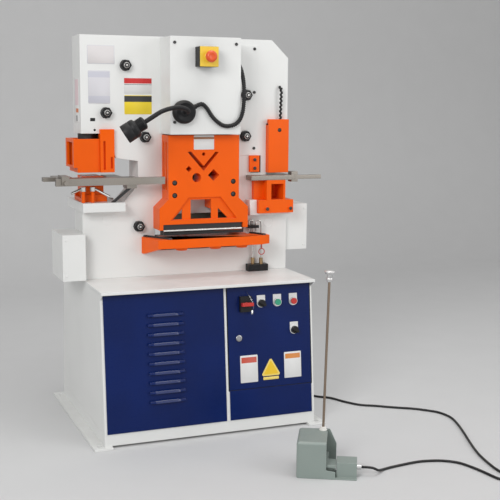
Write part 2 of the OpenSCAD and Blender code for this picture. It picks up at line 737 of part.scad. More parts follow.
module shear_table() {
    blade_front = -ram_y - 0.2 - lower_blade_t;
    color("orangered") difference() {
        union() {
            translate([0, 0, table_z_low]) linear_extrude(shear_top - table_z_low)
                polygon([[-175, -face_y], [-146, -table_y], [240, -table_y], [278, -155],
                    [278, -98], [215, -98], [215, -face_y]]);
            block([-120, 190], [-face_y - 1, blade_front], [shear_top - 18, shear_top]);
            intersection() {
                translate([0, 0, shear_top - 61]) linear_extrude(60)
                    polygon([[-175, -face_y], [-146, -table_y], [-134, -table_y], [-163, -face_y]]);
                translate([-180, 0, 0]) rotate([90, 0, 90]) linear_extrude(60)
                    polygon([[-face_y + 1, shear_top - 60], [-face_y - 12, shear_top - 60],
                        [-table_y, table_z_low], [-table_y, shear_top], [-face_y + 1, shear_top]]);
            }
        }
        translate([0, 0, table_z_low - 1]) linear_extrude(19)
            polygon([[-160, -face_y - 14], [-138, -table_y + 12], [234, -table_y + 12],
                [262, -148], [262, -110], [203, -110], [203, -face_y - 14]]);
    }
    color("orangered") for (x = [-43, 84, 186]) {
        translate([x, -112, table_z_low - 15]) cylinder(r1 = 19, r2 = 29, h = 17);
        bar_z(x, -112, [table_z_low, table_z_low + 19], 24);
    }
    color("dimgray") {
        for (g = [[[-157, -face_y], [-95, -170]], [[232, -98], [262, -160]]])
            translate([0, 0, shear_top]) linear_extrude(6) polygon([g[0], g[1],
                g[1] + [-12, -1], g[0] + [-12, 0]]);
    }
}

// ---------- notching station ----------

notch_y = [-ram_y, ram_y];
notch_tip_z = h(375);
die_open = notch_half + gap;
die_foot_z = [h(217), h(265)];
die_front_x = [jaw_x - 19, hw - 30];
die_front_y = face_y + 58;
die_walls = [18, -8];
module notch_blade() {
    color("silver") block([notch_x - notch_half, notch_x + notch_half], notch_y,
        [notch_tip_z, h(587)]);
}
module notch_die() {
    color("dimgray") difference() {
        union() {
            block([jaw_x - 55, hw - 7], [-60, 60], [die_foot_z[1] - 2, notch_table_z[0]]);
            block(die_front_x, [-die_front_y, -face_y + 1], [die_foot_z[1] - 2, notch_table_z[0]]);
            block([jaw_x - 55, die_front_x[0] + 2], [-face_y - 22, -face_y],
                [die_foot_z[1], notch_table_z[0]]);
            block([jaw_x - 50, hw + 2], [-die_front_y, 60], die_foot_z);
            for (x = [jaw_x - 18, hw - 11])
                bar_y(x, [-die_front_y - 6, -die_front_y + 1], h(233), 8);
        }
        block(die_front_x + die_walls, [-die_front_y - 1, -40],
            [die_foot_z[1] + 1, notch_table_z[0] - 14]);
        block([notch_x - die_open, notch_x + die_open], [-ram_y - gap, 61],
            [die_foot_z[0] - 1, notch_table_z[0] + 1]);
        block([jaw_x - 56, jaw_x], [-face_y - gap, 61], [die_foot_z[0] - 1, notch_table_z[0] + 1]);
        block([hw, hw + 8], [-45 - gap, 61], die_foot_z + [-1, 1]);
    }
    color("dimgray") block([jaw_x + 4, hw - 4], [-face_y, -ram_y - gap], notch_bed_z + [12, 7]);
}
module notch_table() {
    color("dimgray") difference() {
        block([jaw_x - 78, hw + 7], [-115, 100], notch_table_z);
        block([notch_x - die_open, notch_x + die_open], [-ram_y - gap, 101],
            [notch_table_z[0] - 1, notch_table_z[1] + 1]);
        block([jaw_x - 79, jaw_x + 0.1], [-face_y - gap, 101],
            [notch_table_z[0] - 1, notch_table_z[1] + 1]);
    }
    color("dimgray") block([hw + 7, hw + 137], [-70, -50], [notch_table_z[0] - 2, notch_table_z[1] - 4]);
}
module notch_gauge() {
    x = hw + 12;
    color("gray") difference() {
        block([x, x + 26], [-76, -44], [notch_table_z[0] - 11, notch_table_z[1] + 10]);
        block([x - 1, x + 27], [-70 - slip, -50 + slip],
            [notch_table_z[0] - 2 - slip, notch_table_z[1] - 4 + slip]);
    }
    color("gray") bar_y(x + 13, [-86, -75], notch_table_z[0] + 6, 6);
}
module notch_guard() {
    y = -face_y - 25;
    color("orangered") difference() {
        union() {
            block([jaw_x, hw - 5], [y, y + 8], [h(362), h(556)]);
            block([jaw_x + 4, hw - 9], [y + 7, -face_y], [h(541), h(556)]);
            block([hw - 9, hw - 5], [y, -ram_y - 3], [h(362), h(535)]);
            block([jaw_x, jaw_x + 4], [y, -ram_y - 3], [h(362), h(535)]);
        }
        bar_y(jaw_x + 43, [y - 1, y + 5], h(517), 7);
    }
    color("orangered") {
        block([jaw_x - 68, jaw_x - 30], [-face_y - 12, -face_y], [h(365), cover_flange_z[0] - gap]);
        block([jaw_x - 60, jaw_x - 23], [-face_y - 5, -face_y], [h(363), cover_flange_z[0] - gap]);
        for (z = [h(379), h(410)]) bar_y(jaw_x - 50, [-face_y - 16, -face_y - 12], z, 6);
    }
}

// Sheet-metal boxes on the frame's sides, open towards it
module side_boxes() {
    t = 3;
    color("white") for (b = [[[-hw - 80, -hw], [-105, 80], [h(5), h(165)], 0],
            [[hw, hw + 92], [-45, 100], [h(67), h(240)], 1]]) {
        difference() {
            block(b[0], b[1], b[2]);
            block([b[0][0] + (b[3] == 0 ? t : -1), b[0][1] + (b[3] == 0 ? 1 : -t)],
                [b[1][0] + t, b[1][1] - t], [b[2][0] + t, b[2][1] - t]);
        }
        for (z = [b[2][0] + 18, b[2][1] - 18])
            screw_head(b[3] == 0 ? b[0][0] + 12 : b[0][1] - 12, b[1][0], z, 4);
    }
}

// ---------- covers on the frame ----------

cover_flange_x = [cover_x[1], cover_x[1] + 110];
cover_flange_z = [h(425), frame_top - 20];
rear_cover_out = 70;
module cover_shell(w, z, out) {
    difference() {
        block(w, [-out, 0], z);
        block([w[0] + cover_t, w[1] - cover_t], [cover_t - out, 1], [z[0] + cover_t, z[1] - cover_t]);
    }
}
module cylinder_covers() {
    color("white") {
        translate([0, -face_y, 0]) cover_shell(cover_x, cover_z, cover_out);
        difference() {
            block(cover_flange_x, [-face_y - cover_t, -face_y], cover_flange_z);
            for (p = gib_at)
                bar_y(p[0], [-face_y - cover_t - 1, -face_y + 1], p[1], nut_af / 2 + 4);
            block([cover_flange_x[0] - 1, block_x[1] + gap], [-face_y - cover_t - 1, -face_y + 1],
                [cover_flange_z[0] - 1, block_z[1] + gap]);
        }
        block([estop_at[0] - 4, estop_at[0] + 4], [cover_t - cover_y, -cyl_r - 8],
            [cover_z[1] - 40, cover_z[1] - cover_t]);
    }
    color("white") difference() {
        mirror([0, 1, 0]) translate([0, -face_y, 0])
            cover_shell(cover_x, [h(560), cover_z[1]], rear_cover_out);
        block([pipe_at[0] - 14, pipe_at[1] + 14], [face_y, pipe_y + 14], [h(559), h(570)]);
    }
}
function cover_screw_at() = [[cover_x[0] + 16, cover_z[1] - 21], [cover_x[1] - 18, cover_z[1] - 22],
    [cover_x[0] + 15, cover_z[0] + 42]];
module cover_screws() {
    color("silver") {
        for (p = cover_screw_at()) screw_head(p[0], -cover_y, p[1]);
        for (z = [cover_flange_z[0] + 26, (cover_flange_z[0] + cover_flange_z[1]) / 2 + 30,
                cover_flange_z[1] - 3 - 10])
            screw_head(cover_flange_x[1] - 13, -face_y - cover_t, z, 6);
    }
}

// Emergency stop: a box with a guard ring, and a mushroom head that is pushed in
module estop_box() {
    w = 34;
    color("black") block([estop_at[0] - w, estop_at[0] + w], [-cover_y - 28, -cover_y],
        [estop_at[1] - w, estop_at[1] + w]);
    color("gold") difference() {
        union() {
            block([estop_at[0] - w, estop_at[0] + w], [-cover_y - estop_box_h, -cover_y - 28],
                [estop_at[1] - w, estop_at[1] + w]);
            bar_y(estop_at[0], [-cover_y - estop_box_h - 4, -cover_y - estop_box_h + 1],
                estop_at[1], 15);
        }
        bar_y(estop_at[0], [-cover_y - estop_box_h - 5, -cover_y - 29], estop_at[1], 10 + slip);
    }
}
estop_travel = 5;
module estop_button() {
    y = -cover_y - estop_box_h - 4 - estop_travel - 1;
    color("orangered") translate([estop_at[0], y, estop_at[1]]) rotate([90, 0, 0]) rotate_extrude()
        polygon([[0, -20], [10, -20], [10, 0], [15, 0], [19, 4], [20, 10], [19, 15], [15, 19],
            [8, 21.5], [0, 22]]);
}

// Magnetic lamp: base, bent neck, and a head carried along its aim
module lamp_base() {
    r = lamp_base_d / 2;
    color("black") {
        translate([lamp_at[0], -cover_y, lamp_at[1]]) rotate([90, 0, 0]) rotate_extrude()
            polygon([[0, 0], [r, 0], [r, lamp_base_h - 8], [r - 8, lamp_base_h],
                [0, lamp_base_h]]);
        cord(neck_path, neck_r, n = 10);
        translate([lamp_at[0], -cover_y - lamp_base_h / 2, lamp_at[1]]) rotate([0, 65, 0])
            cylinder(r = 7, h = 46);
    }
}
// Turns +Z to lie along the direction d
module aim(d) {
    rotate([0, acos(d[2] / norm(d)), atan2(d[1], d[0])]) children();
}
lamp_back = lamp_mouth - lamp_len * unit(lamp_aim);
module lamp_head() {
    color("black") translate(lamp_back) aim(lamp_aim) rotate_extrude()
        polygon([[0, 0], [13, 0], [20, 3], [23, 8], [23, 31], [30, 35], [32, 39], [32, lamp_len],
            [29, lamp_len], [28, 45], [20, 41], [0, 41]]);
    color("white") translate(lamp_back) aim(lamp_aim) rotate_extrude()
        polygon([[0, 41], [11, 41], [13, 49], [21, 58], [22, 65], [16, 72], [0, 74]]);
}
module lamp_cord() {
    color("black") cord(lamp_cord_path, lamp_cord_r);
}
module jaw_cord() {
    color("black") cord(jaw_cord_path, jaw_cord_r, [1, 0, 0]);
}

// ---------- lubrication block, pipes and tag ----------

lube_x = [223, 300];
lube_y = [-face_y - 32, -face_y];
lube_r = 3;
module lube_lines() {
    pipes = [[lube_x[0] + 9, lube_x[0] + 24, h(180), -70],
        [lube_x[0] + 32, lube_x[0] + 52, h(176), -82]];
    color("black") block(lube_x, lube_y, [cabinet_h, h(25)]);
    color("black") block([lube_x[0] + 2, lube_x[0] + 40], [-90, -face_y], [h(160), h(170)]);
    color("goldenrod") for (p = pipes) {
        bar_z(p[1], p[3], [h(25), h(48)], 7);
        bar_z(p[1], p[3], [h(25), p[2]], lube_r);
        bar_z(p[0], p[3], [h(150), p[2]], lube_r);
        translate([(p[0] + p[1]) / 2, p[3], p[2]]) rotate([90, 0, 0]) rotate_extrude(angle = 180)
            translate([(p[1] - p[0]) / 2, 0]) circle(lube_r, $fn = 24);
    }
}
tag_at = [265, -112];
module red_tag() {
    color("red") {
        translate([tag_at[0], tag_at[1], h(76)]) rotate([90, 0, 0]) rotate_extrude()
            translate([11, 0]) circle(1.6, $fn = 24);
        bar_z(tag_at[0], tag_at[1], [h(86.5), h(110.3)], 2);
    }
}

// ---------- labels ----------

label_t = 0.6;
module label_plates() {
    y = [-face_y - label_t, -face_y];
    color("lightgray") {
        block([25 - hw, 120 - hw], y, [frame_top - 97, frame_top - 34]);
        block([27 - hw, 103 - hw], y, [h(609), h(721)]);
        block([153 - hw, 251 - hw], y, [h(643), h(699)]);
        block([-hw - label_t, -hw], [-40, 32], [h(543), h(697)]);
    }
    color("gold") block([153 - hw, 251 - hw], y, [h(573), h(638)]);
    color("white") block([-5, 70], [-block_y - label_t, -block_y], [h(452), block_z[1]]);
}

// ---------- door of the electrical cabinet and its controls ----------

bezel_t = 7;
legend_t = 1;
button_r = 11;
button_travel = 4;
front_y = -panel_t - legend_t - bezel_t;
module control_door() {
    color("midnightblue") on_slope() difference() {
        block(door_x, [-panel_t, -slip], door_s);
        for (x = button_x) bar_y(x, [-panel_t - 1, 1], button_s, button_r + 1.2);
        bar_y(mode_at[0], [-panel_t - 1, 1], mode_at[1], button_r + 1.2);
        bar_y(switch_at[0], [-panel_t - 1, 1], switch_at[1], 14);
        bar_y(lock_at[0], [-panel_t - 1, 1], lock_at[1], 9 + gap);
    }
}

// Legend plate with a flat top and a round foot, centred on its control
module legend(x, s) {
    slab(-panel_t - legend_t, -panel_t) difference() {
        union() {
            translate([x, s]) circle(legend_w / 2);
            translate([x - legend_w / 2, s]) square([legend_w, legend_h - legend_w / 2]);
        }
        translate([x, s]) circle(button_r + 1.2);
    }
}
module control_body(x, s, r) {
    difference() {
        union() {
            bar_y(x, [front_y, -panel_t - legend_t], s, 14);
            bar_y(x, [-panel_t - legend_t - 1, 1], s, button_r + 1);
            block([x - 15, x + 15], [0, 42], [s - 15, s + 15]);
        }
        bar_y(x, [front_y - 1, 8], s, r + slip);
    }
}
selector_r = 8;
module door_fittings() {
    color("white") on_slope() {
        for (x = button_x) legend(x, button_s);
        legend(mode_at[0], mode_at[1]);
        for (x = [[101, 169], [267, 335]])
            block(x, [-panel_t - label_t, -panel_t], [door_s[0] + 20, door_s[0] + 122]);
        slab(-panel_t - label_t, -panel_t)
            polygon([[187, door_s[0] + 24], [257, door_s[0] + 24], [222, door_s[0] + 104]]);
    }
    color("black") on_slope() {
        control_body(button_x[0], button_s, selector_r);
        control_body(button_x[1], button_s, button_r);
        control_body(button_x[2], button_s, button_r);
        control_body(mode_at[0], mode_at[1], selector_r);
        difference() {
            union() {
                block([switch_at[0] - 21, switch_at[0] + 21], [-panel_t - 14, -panel_t],
                    [switch_at[1] - 27, switch_at[1] + 27]);
                bar_y(switch_at[0], [-panel_t - 1, 1], switch_at[1], 13.7);
                block([switch_at[0] - 24, switch_at[0] + 24], [0, 55],
                    [switch_at[1] - 24, switch_at[1] + 24]);
            }
            bar_y(switch_at[0], [-panel_t - 15, 9], switch_at[1], 7 + slip);
        }
    }
}
module door_lock() {
    x = lock_at[0];
    color("silver") on_slope() {
        bar_y(x, [-panel_t - 5, -panel_t - slip], lock_at[1], 11);
        bar_y(x, [-panel_t - 1, 9], lock_at[1], 9);
        block([x - 6, x + 6], [5, 8], [lock_at[1] - 32, lock_at[1]]);
    }
}
module switch_handle() {
    y = -panel_t - 14;
    color("red") on_slope() {
        bar_y(switch_at[0], [y - 4, -2], switch_at[1], 7);
        block([switch_at[0] - 21, switch_at[0] + 21], [y - 20, y - 3],
            [switch_at[1] - 6, switch_at[1] + 6]);
    }
}
module push_button(x, s) {
    on_slope() bar_y(x, [front_y - button_travel - 1, -1], s, button_r);
}
module start_button() {
    color("green") push_button(button_x[1], button_s);
}
module stop_button() {
    color("red") push_button(button_x[2], button_s);
}
module selector(x, s) {
    color("black") on_slope() {
        bar_y(x, [front_y - 3, 0], s, selector_r);
        bar_y(x, [front_y - 5, front_y - gap], s, 13);
        translate([x, 0, s]) rotate([0, 35, 0]) block([-13, 13], [front_y - 14, front_y - 4], [-4, 4]);
    }
}
module selector_start() {
    selector(button_x[0], button_s);
}
module selector_mode() {
    selector(mode_at[0], mode_at[1]);
}

// ---------- foot switch ----------

pedal_pivot = [16, 42];
pin_r = 5;
rod_slot = [[66, 98], [117, 131]];
module pedal_housing() {
    near_side = [[0, 0], [hood_l, 0], [hood_l, 24], [hood_top_l, 28], [hood_top_l, hood_h],
        [0, hood_h]];
    far_side = [[0, 0], [hood_l, 0], [hood_l, 68], [hood_top_l + 6, hood_h], [0, hood_h]];
    box_x = [hood_l + 3, hood_l + 3 + box_l];
    box_y = [14, 14 + box_d];
    color("lightslategray") on_pedal() {
        difference() {
            union() {
                slab(0, hood_t) polygon(near_side);
                slab(hood_d - hood_t, hood_d) polygon(far_side);
                block([0, hood_top_l], [0, hood_d], [hood_h - hood_t, hood_h]);
                block([0, hood_t], [0, hood_d], [0, hood_h]);
                block([0, box_x[1]], [0, box_y[1]], [0, 4]);
                block([0, hood_l], [0, hood_d], [0, 4]);
                block(box_x, box_y, [3, box_h]);
                bar_y(pedal_pivot[0], [hood_t - 1, hood_d - hood_t + 1], pedal_pivot[1], pin_r);
                bar_x([box_x[1] - 1, box_x[1] + 14], 46, gland_z, 8);
            }
            block(rod_slot[0], rod_slot[1], [hood_h - hood_t - 1, hood_h + 1]);
        }
    }
}
module pedal() {
    color("lightslategray") on_pedal() {
        difference() {
            union() {
                block([pedal_pivot[0], hood_l + 2], [10, hood_d - 10],
                    [pedal_pivot[1] - 8, pedal_pivot[1]]);
                bar_y(pedal_pivot[0], [10, hood_d - 10], pedal_pivot[1], pin_r + 4);
            }
            bar_y(pedal_pivot[0], [9, hood_d - 9], pedal_pivot[1], pin_r + slip);
            block([hood_l - 24, hood_l + 3], [70, hood_d], [0, hood_h]);
        }
    }
    color("silver") on_pedal() translate([hand_rod_at[0], hand_rod_at[1], hood_h])
        rotate([0, hand_rod_lean, -pedal_turn]) {
            bar_z(0, 0, [pedal_pivot[1] + rod_seat - hood_h, rod_l - 20], hand_rod_r);
            bar_z(0, 0, [rod_l - 34, rod_l - 6], 9);
            bar_z(0, 0, [rod_l - 8, rod_l], 15);
        }
}

// The foot switch's lead, lying on the floor from the cabinet to the hood's box
module foot_cable() {
    color("dimgray") cord(foot_cord_path, foot_cord_r);
}

base_frame();
cabinet();
front_panels();
oil_tank();
motor_body();
motor_rotor();
electrical_panel();
frame_front_plate();
frame_rear_plate();
frame_spacers();
bed_plates();
cylinder_barrel();
cylinder_rod();
ram_plate();
gib_screws();
gib_pads();
punch_holder();
punch();
die_holder();
die();
clamp_lever_left();
clamp_lever_right();
stripper_bracket();
stripper_box();
punch_table();
table_stop();
section_block();
hold_down_bar();
upper_blade();
lower_blade();
shear_table();
notch_blade();
notch_die();
notch_table();
notch_gauge();
notch_guard();
side_boxes();
pressure_pipes();
cylinder_covers();
cover_screws();
estop_box();
estop_button();
lamp_base();
lamp_head();
lamp_cord();
jaw_cord();
lube_lines();
red_tag();
label_plates();
control_door();
door_fittings();
door_lock();
switch_handle();
start_button();
stop_button();
selector_start();
selector_mode();
pedal_housing();
pedal();
foot_cable();
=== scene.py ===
# %% [markdown]
# An ironworker is a workshop machine that punches, crops, shears and notches steel. Its structure is already
# solid: plates, blades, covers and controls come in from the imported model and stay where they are. This
# lesson dresses it: paint, ground steel, moulded plastic, cords with their wrap, screws, films and light.

import json
import math

import bmesh
import bpy
import numpy as np
from mathutils import Matrix, Vector


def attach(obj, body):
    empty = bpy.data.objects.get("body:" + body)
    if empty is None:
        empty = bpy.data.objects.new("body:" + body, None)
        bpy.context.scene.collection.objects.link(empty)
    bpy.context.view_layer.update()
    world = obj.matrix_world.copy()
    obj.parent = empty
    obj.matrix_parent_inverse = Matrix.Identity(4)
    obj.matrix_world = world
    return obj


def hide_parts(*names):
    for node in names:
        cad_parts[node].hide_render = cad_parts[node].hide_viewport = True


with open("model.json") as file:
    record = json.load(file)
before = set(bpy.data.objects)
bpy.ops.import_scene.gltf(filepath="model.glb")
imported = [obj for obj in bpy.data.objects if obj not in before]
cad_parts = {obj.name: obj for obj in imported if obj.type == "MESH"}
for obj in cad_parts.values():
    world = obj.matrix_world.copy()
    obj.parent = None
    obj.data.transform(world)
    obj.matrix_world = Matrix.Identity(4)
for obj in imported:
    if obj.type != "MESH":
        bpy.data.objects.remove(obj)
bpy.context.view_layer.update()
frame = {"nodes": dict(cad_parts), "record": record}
nodes = frame["nodes"]
scene = bpy.context.scene

# %% [markdown]
# The camera stands in front of the machine, to its left and at chest height, and looks slightly down. A long
# lens keeps the upright edges nearly parallel. Its axes are worked out from two angles and a small roll, so
# each number says one plain thing about where the viewer stands.

# %% Camera
CAMERA_PLACE = (-1.137, -3.490, 1.153)
TURN_RIGHT = 0.3818
LOOK_DOWN = 0.1485
ROLL = 0.0077
LENS = 72.6
SENSOR = 36.0
FARTHEST_SEEN = 50.0


def aim_camera(place, turn, down, roll):
    """Axes of a camera that looks along +Y, turned right, tipped down, and then rolled, by three angles."""
    ahead = Vector((math.sin(turn) * math.cos(down), math.cos(turn) * math.cos(down), -math.sin(down)))
    level = Vector((math.cos(turn), -math.sin(turn), 0.0))
    above = level.cross(ahead)
    right = math.cos(roll) * level + math.sin(roll) * above
    up = math.cos(roll) * above - math.sin(roll) * level
    axes = Matrix((right, up, -ahead)).transposed().to_4x4()
    return Matrix.Translation(Vector(place)) @ axes


camera = bpy.data.objects.new("camera", bpy.data.cameras.new("camera"))
camera.data.lens = LENS
camera.data.sensor_width = SENSOR
camera.data.clip_end = FARTHEST_SEEN
camera.matrix_world = aim_camera(CAMERA_PLACE, TURN_RIGHT, LOOK_DOWN, ROLL)
scene.collection.objects.link(camera)
scene.camera = camera
print("camera at", CAMERA_PLACE, "lens", LENS)

# %% [markdown]
# Most new pieces here are surfaces on a grid: two parameters run over rows and columns, and numpy gives the
# place of every point at once. A few helpers make the faces of such a grid, with its columns closed where the
# surface meets itself and caps where a tube ends. Others carry a round section along a smooth route.

# %% Grids
def add_mesh(name, points, faces, smooth=True):
    """A new object from an array of points and a list or array of faces, with its place in its mesh."""
    mesh = bpy.data.meshes.new(name)
    mesh.from_pydata(np.asarray(points, float).reshape(-1, 3).tolist(), [], [list(f) for f in faces])
    mesh.update()
    mesh.polygons.foreach_set("use_smooth", np.full(len(mesh.polygons), smooth))
    piece = bpy.data.objects.new(name, mesh)
    scene.collection.objects.link(piece)
    return piece


def grid_faces(rows, columns, close_columns=False):
    """Four-sided faces between neighbouring rows and columns, counted row by row."""
    wide = columns if close_columns else columns - 1
    i, k = np.meshgrid(np.arange(rows - 1), np.arange(wide), indexing="ij")
    ahead = (k + 1) % columns
    here, above = i * columns, (i + 1) * columns
    corners = (here + k, here + ahead, above + ahead, above + k)
    return np.stack(corners, -1).reshape(-1, 4)


def capped_faces(rows, around):
    """Faces of a closed tube of rings: its sides, and one flat face over each end."""
    last = (rows - 1) * around
    sides = grid_faces(rows, around, close_columns=True).tolist()
    return sides + [list(range(around))[::-1], list(range(last, last + around))]


# %% Routes and tubes
STEPS_PER_SPAN = 40
NEARLY_UPRIGHT = 0.9


def length_along(route):
    """How far each point of a route lies from its start, measured along it."""
    return np.concatenate([[0], np.cumsum(np.linalg.norm(np.diff(route, axis=0), axis=1))])


def smooth_route(points, step):
    """A Catmull-Rom curve through the points, sampled evenly at about one step apart, and its length."""
    p = np.asarray(points, float)
    p = np.vstack([2 * p[0] - p[1], p, 2 * p[-1] - p[-2]])
    t = np.linspace(0, 1, STEPS_PER_SPAN, endpoint=False)[:, None]
    spans = []
    for a, b, c, d in zip(p[:-3], p[1:-2], p[2:-1], p[3:]):
        spans.append(0.5 * (2 * b + (c - a) * t + (2 * a - 5 * b + 4 * c - d) * t**2
                            + (3 * b - a - 3 * c + d) * t**3))
    fine = np.vstack(spans + [p[-2:-1]])
    run = length_along(fine)
    count = max(int(round(run[-1] / step)), 2) + 1
    even = np.linspace(0, run[-1], count)
    return np.stack([np.interp(even, run, fine[:, axis]) for axis in range(3)], -1), run[-1]


def route_frames(route):
    """Tangents and two side directions along a route, carried from ring to ring without twist."""
    tangent = np.gradient(route, axis=0)
    tangent /= np.linalg.norm(tangent, axis=1)[:, None]
    side = np.zeros_like(route)
    helper = (0.0, 0.0, 1.0) if abs(tangent[0, 2]) < NEARLY_UPRIGHT else (0.0, 1.0, 0.0)
    first = np.cross(tangent[0], helper)
    side[0] = first / np.linalg.norm(first)
    for i in range(1, len(route)):
        carried = side[i - 1] - tangent[i] * (side[i - 1] @ tangent[i])
        side[i] = carried / np.linalg.norm(carried)
    return tangent, side, np.cross(tangent, side)


def tube(name, route, radius, around=16):
    """A closed tube: rings of points about the route, with one radius or an array of rings by points."""
    _, side, other = route_frames(route)
    angle = np.linspace(0, 2 * math.pi, around, endpoint=False)
    reach = np.broadcast_to(np.asarray(radius, float), (len(route), around))[..., None]
    turn_side, turn_other = np.cos(angle)[None, :, None], np.sin(angle)[None, :, None]
    ring = side[:, None] * turn_side + other[:, None] * turn_other
    return add_mesh(name, route[:, None] + reach * ring, capped_faces(len(route), around))


# %% [markdown]
# The foot switch's lead is a plain round cable that lies in loose curves on the floor. The lamp's lead and
# the short cable at the jaw are wound in a spiral wrap. Their routes repeat the model's own points, in
# metres. The wrap is not a separate band: the tube's radius steps up and down along a helix, which gives
# the same edges and grooves with one closed skin.

# %% Routes of the cords
LYING = 0.0045
FROM_CABINET = [(0.399, 0.180, 0.062), (0.416, 0.180, 0.062), (0.438, 0.170, 0.046), (0.453, 0.148, 0.024),
                (0.466, 0.122, 0.009)]
ON_FLOOR = [(0.480, 0.085), (0.505, 0.020), (0.531, -0.042), (0.573, -0.080), (0.604, -0.147),
            (0.640, -0.202), (0.688, -0.233), (0.726, -0.262), (0.764, -0.288), (0.811, -0.319),
            (0.851, -0.360), (0.873, -0.394), (0.880, -0.453), (0.863, -0.522), (0.833, -0.605),
            (0.790, -0.712), (0.756, -0.804), (0.737, -0.876), (0.724, -0.950), (0.722, -1.000),
            (0.712, -1.030), (0.696, -1.040), (0.682, -1.025), (0.675, -0.985), (0.668, -0.940),
            (0.658, -0.900), (0.645, -0.866), (0.625, -0.845), (0.600, -0.828), (0.567, -0.817),
            (0.535, -0.811), (0.495, -0.813), (0.456, -0.818), (0.417, -0.824)]
TO_PEDAL = [(0.385, -0.833, 0.005), (0.358, -0.852, 0.013), (0.338, -0.859, 0.025), (0.321, -0.8538, 0.028),
            (0.3032, -0.8443, 0.028)]
FOOT_LEAD = FROM_CABINET + [(x, y, LYING) for x, y in ON_FLOOR] + TO_PEDAL
LAMP_LEAD = [(-0.0153, -0.191, 1.1274), (-0.004, -0.191, 1.1327), (0.010, -0.188, 1.134),
             (0.026, -0.1865, 1.120), (0.044, -0.186, 1.094), (0.064, -0.186, 1.075),
             (0.086, -0.186, 1.062), (0.108, -0.186, 1.060), (0.130, -0.186, 1.066),
             (0.148, -0.186, 1.082), (0.158, -0.186, 1.108), (0.162, -0.186, 1.140),
             (0.164, -0.184, 1.175), (0.166, -0.172, 1.215), (0.166, -0.152, 1.250),
             (0.165, -0.125, 1.275), (0.164, -0.095, 1.293), (0.164, -0.078, 1.295), (0.164, -0.06205, 1.295)]
JAW_LEAD = [(0.351, -0.06005, 1.196), (0.351, -0.067, 1.196), (0.351, -0.073, 1.1935),
            (0.351, -0.077, 1.187), (0.351, -0.078, 1.178), (0.351, -0.0775, 1.162),
            (0.351, -0.076, 1.142), (0.351, -0.074, 1.118), (0.351, -0.073, 1.098), (0.351, -0.0725, 1.0812)]
print("points on the routes", len(FOOT_LEAD), len(LAMP_LEAD), len(JAW_LEAD))

# %% Cords
FOOT_RADIUS = 0.004
LAMP_RADIUS = 0.0075
JAW_RADIUS = 0.006
WRAP_EDGE = 0.06


def wrapped_radius(route, core, outer, pitch, band, around):
    """Radius of a spiral wrap: outer on the band and core in the groove, turning once round in a pitch."""
    run = length_along(route)
    phase = (run[:, None] / pitch - np.arange(around)[None, :] / around) % 1.0
    edge = np.clip((band / 2 - np.abs(phase - 0.5)) / WRAP_EDGE, 0, 1)
    return core + (outer - core) * edge


def lay_cord(name, node, points, radius, step, wrap_pitch=None, core=0.8, band=0.62):
    """Makes the cord's tube, lets it stand for its solid, and prints its length."""
    route, length = smooth_route(points, step)
    around = 20 if wrap_pitch else 12
    reach = radius
    if wrap_pitch:
        reach = wrapped_radius(route, radius * core, radius, wrap_pitch, band, around)
    cord = tube(name, route, reach, around)
    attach(cord, "machine")
    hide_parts(node)
    print(name, "length", round(length, 3))
    return cord


foot_lead = lay_cord("foot_switch_lead", "foot_cable", FOOT_LEAD, FOOT_RADIUS, 0.012)
lamp_lead = lay_cord("lamp_lead", "lamp_cord", LAMP_LEAD, LAMP_RADIUS, 0.0009, wrap_pitch=0.0065)
jaw_lead = lay_cord("jaw_lead", "jaw_cord", JAW_LEAD, JAW_RADIUS, 0.0008, wrap_pitch=0.015, core=0.5,
                    band=0.5)

# %% [markdown]
# Paint, metal and plastic share a few effects: fine grain, slow drift of tone, wear along edges, and dust
# on what faces up. Each effect is built once as a node group with named inputs, and every material places
# it with its own values. The groups put out only masks and values, and each material keeps its own
# Principled shader.

# %% Node helpers
NOISE_LOW, NOISE_HIGH = 0.3, 0.7


def add_node(tree, kind, **settings):
    """A node of this kind, with plain values set on its properties or its inputs by name."""
    made = tree.nodes.new(kind)
    for key, value in settings.items():
        if hasattr(made, key):
            setattr(made, key, value)
        else:
            made.inputs[key.replace("_", " ").title()].default_value = value
    return made


def mix_numbers(tree, kind, first, second):
    """A Math node of two inputs, each a number or another node's socket."""
    made = add_node(tree, "ShaderNodeMath", operation=kind)
    for socket, value in zip(made.inputs, (first, second)):
        if isinstance(value, (int, float)):
            socket.default_value = value
        else:
            tree.links.new(value, socket)
    return made.outputs[0]


def ramp(tree, value, low, high, bottom=0.0, top=1.0):
    """Maps a value from one range to another, held at both ends."""
    made = add_node(tree, "ShaderNodeMapRange", clamp=True)
    for name, number in zip(("From Min", "From Max", "To Min", "To Max"), (low, high, bottom, top)):
        made.inputs[name].default_value = number
    tree.links.new(value, made.inputs["Value"])
    return made.outputs["Result"]


def new_group(name, inputs, outputs):
    """An empty shader node group with float inputs and their first values, and float outputs."""
    tree = bpy.data.node_groups.new(name, "ShaderNodeTree")
    for label, first in inputs.items():
        socket = tree.interface.new_socket(name=label, in_out="INPUT", socket_type="NodeSocketFloat")
        socket.default_value = first
    for label in outputs:
        tree.interface.new_socket(name=label, in_out="OUTPUT", socket_type="NodeSocketFloat")
    return tree, tree.nodes.new("NodeGroupInput"), tree.nodes.new("NodeGroupOutput")


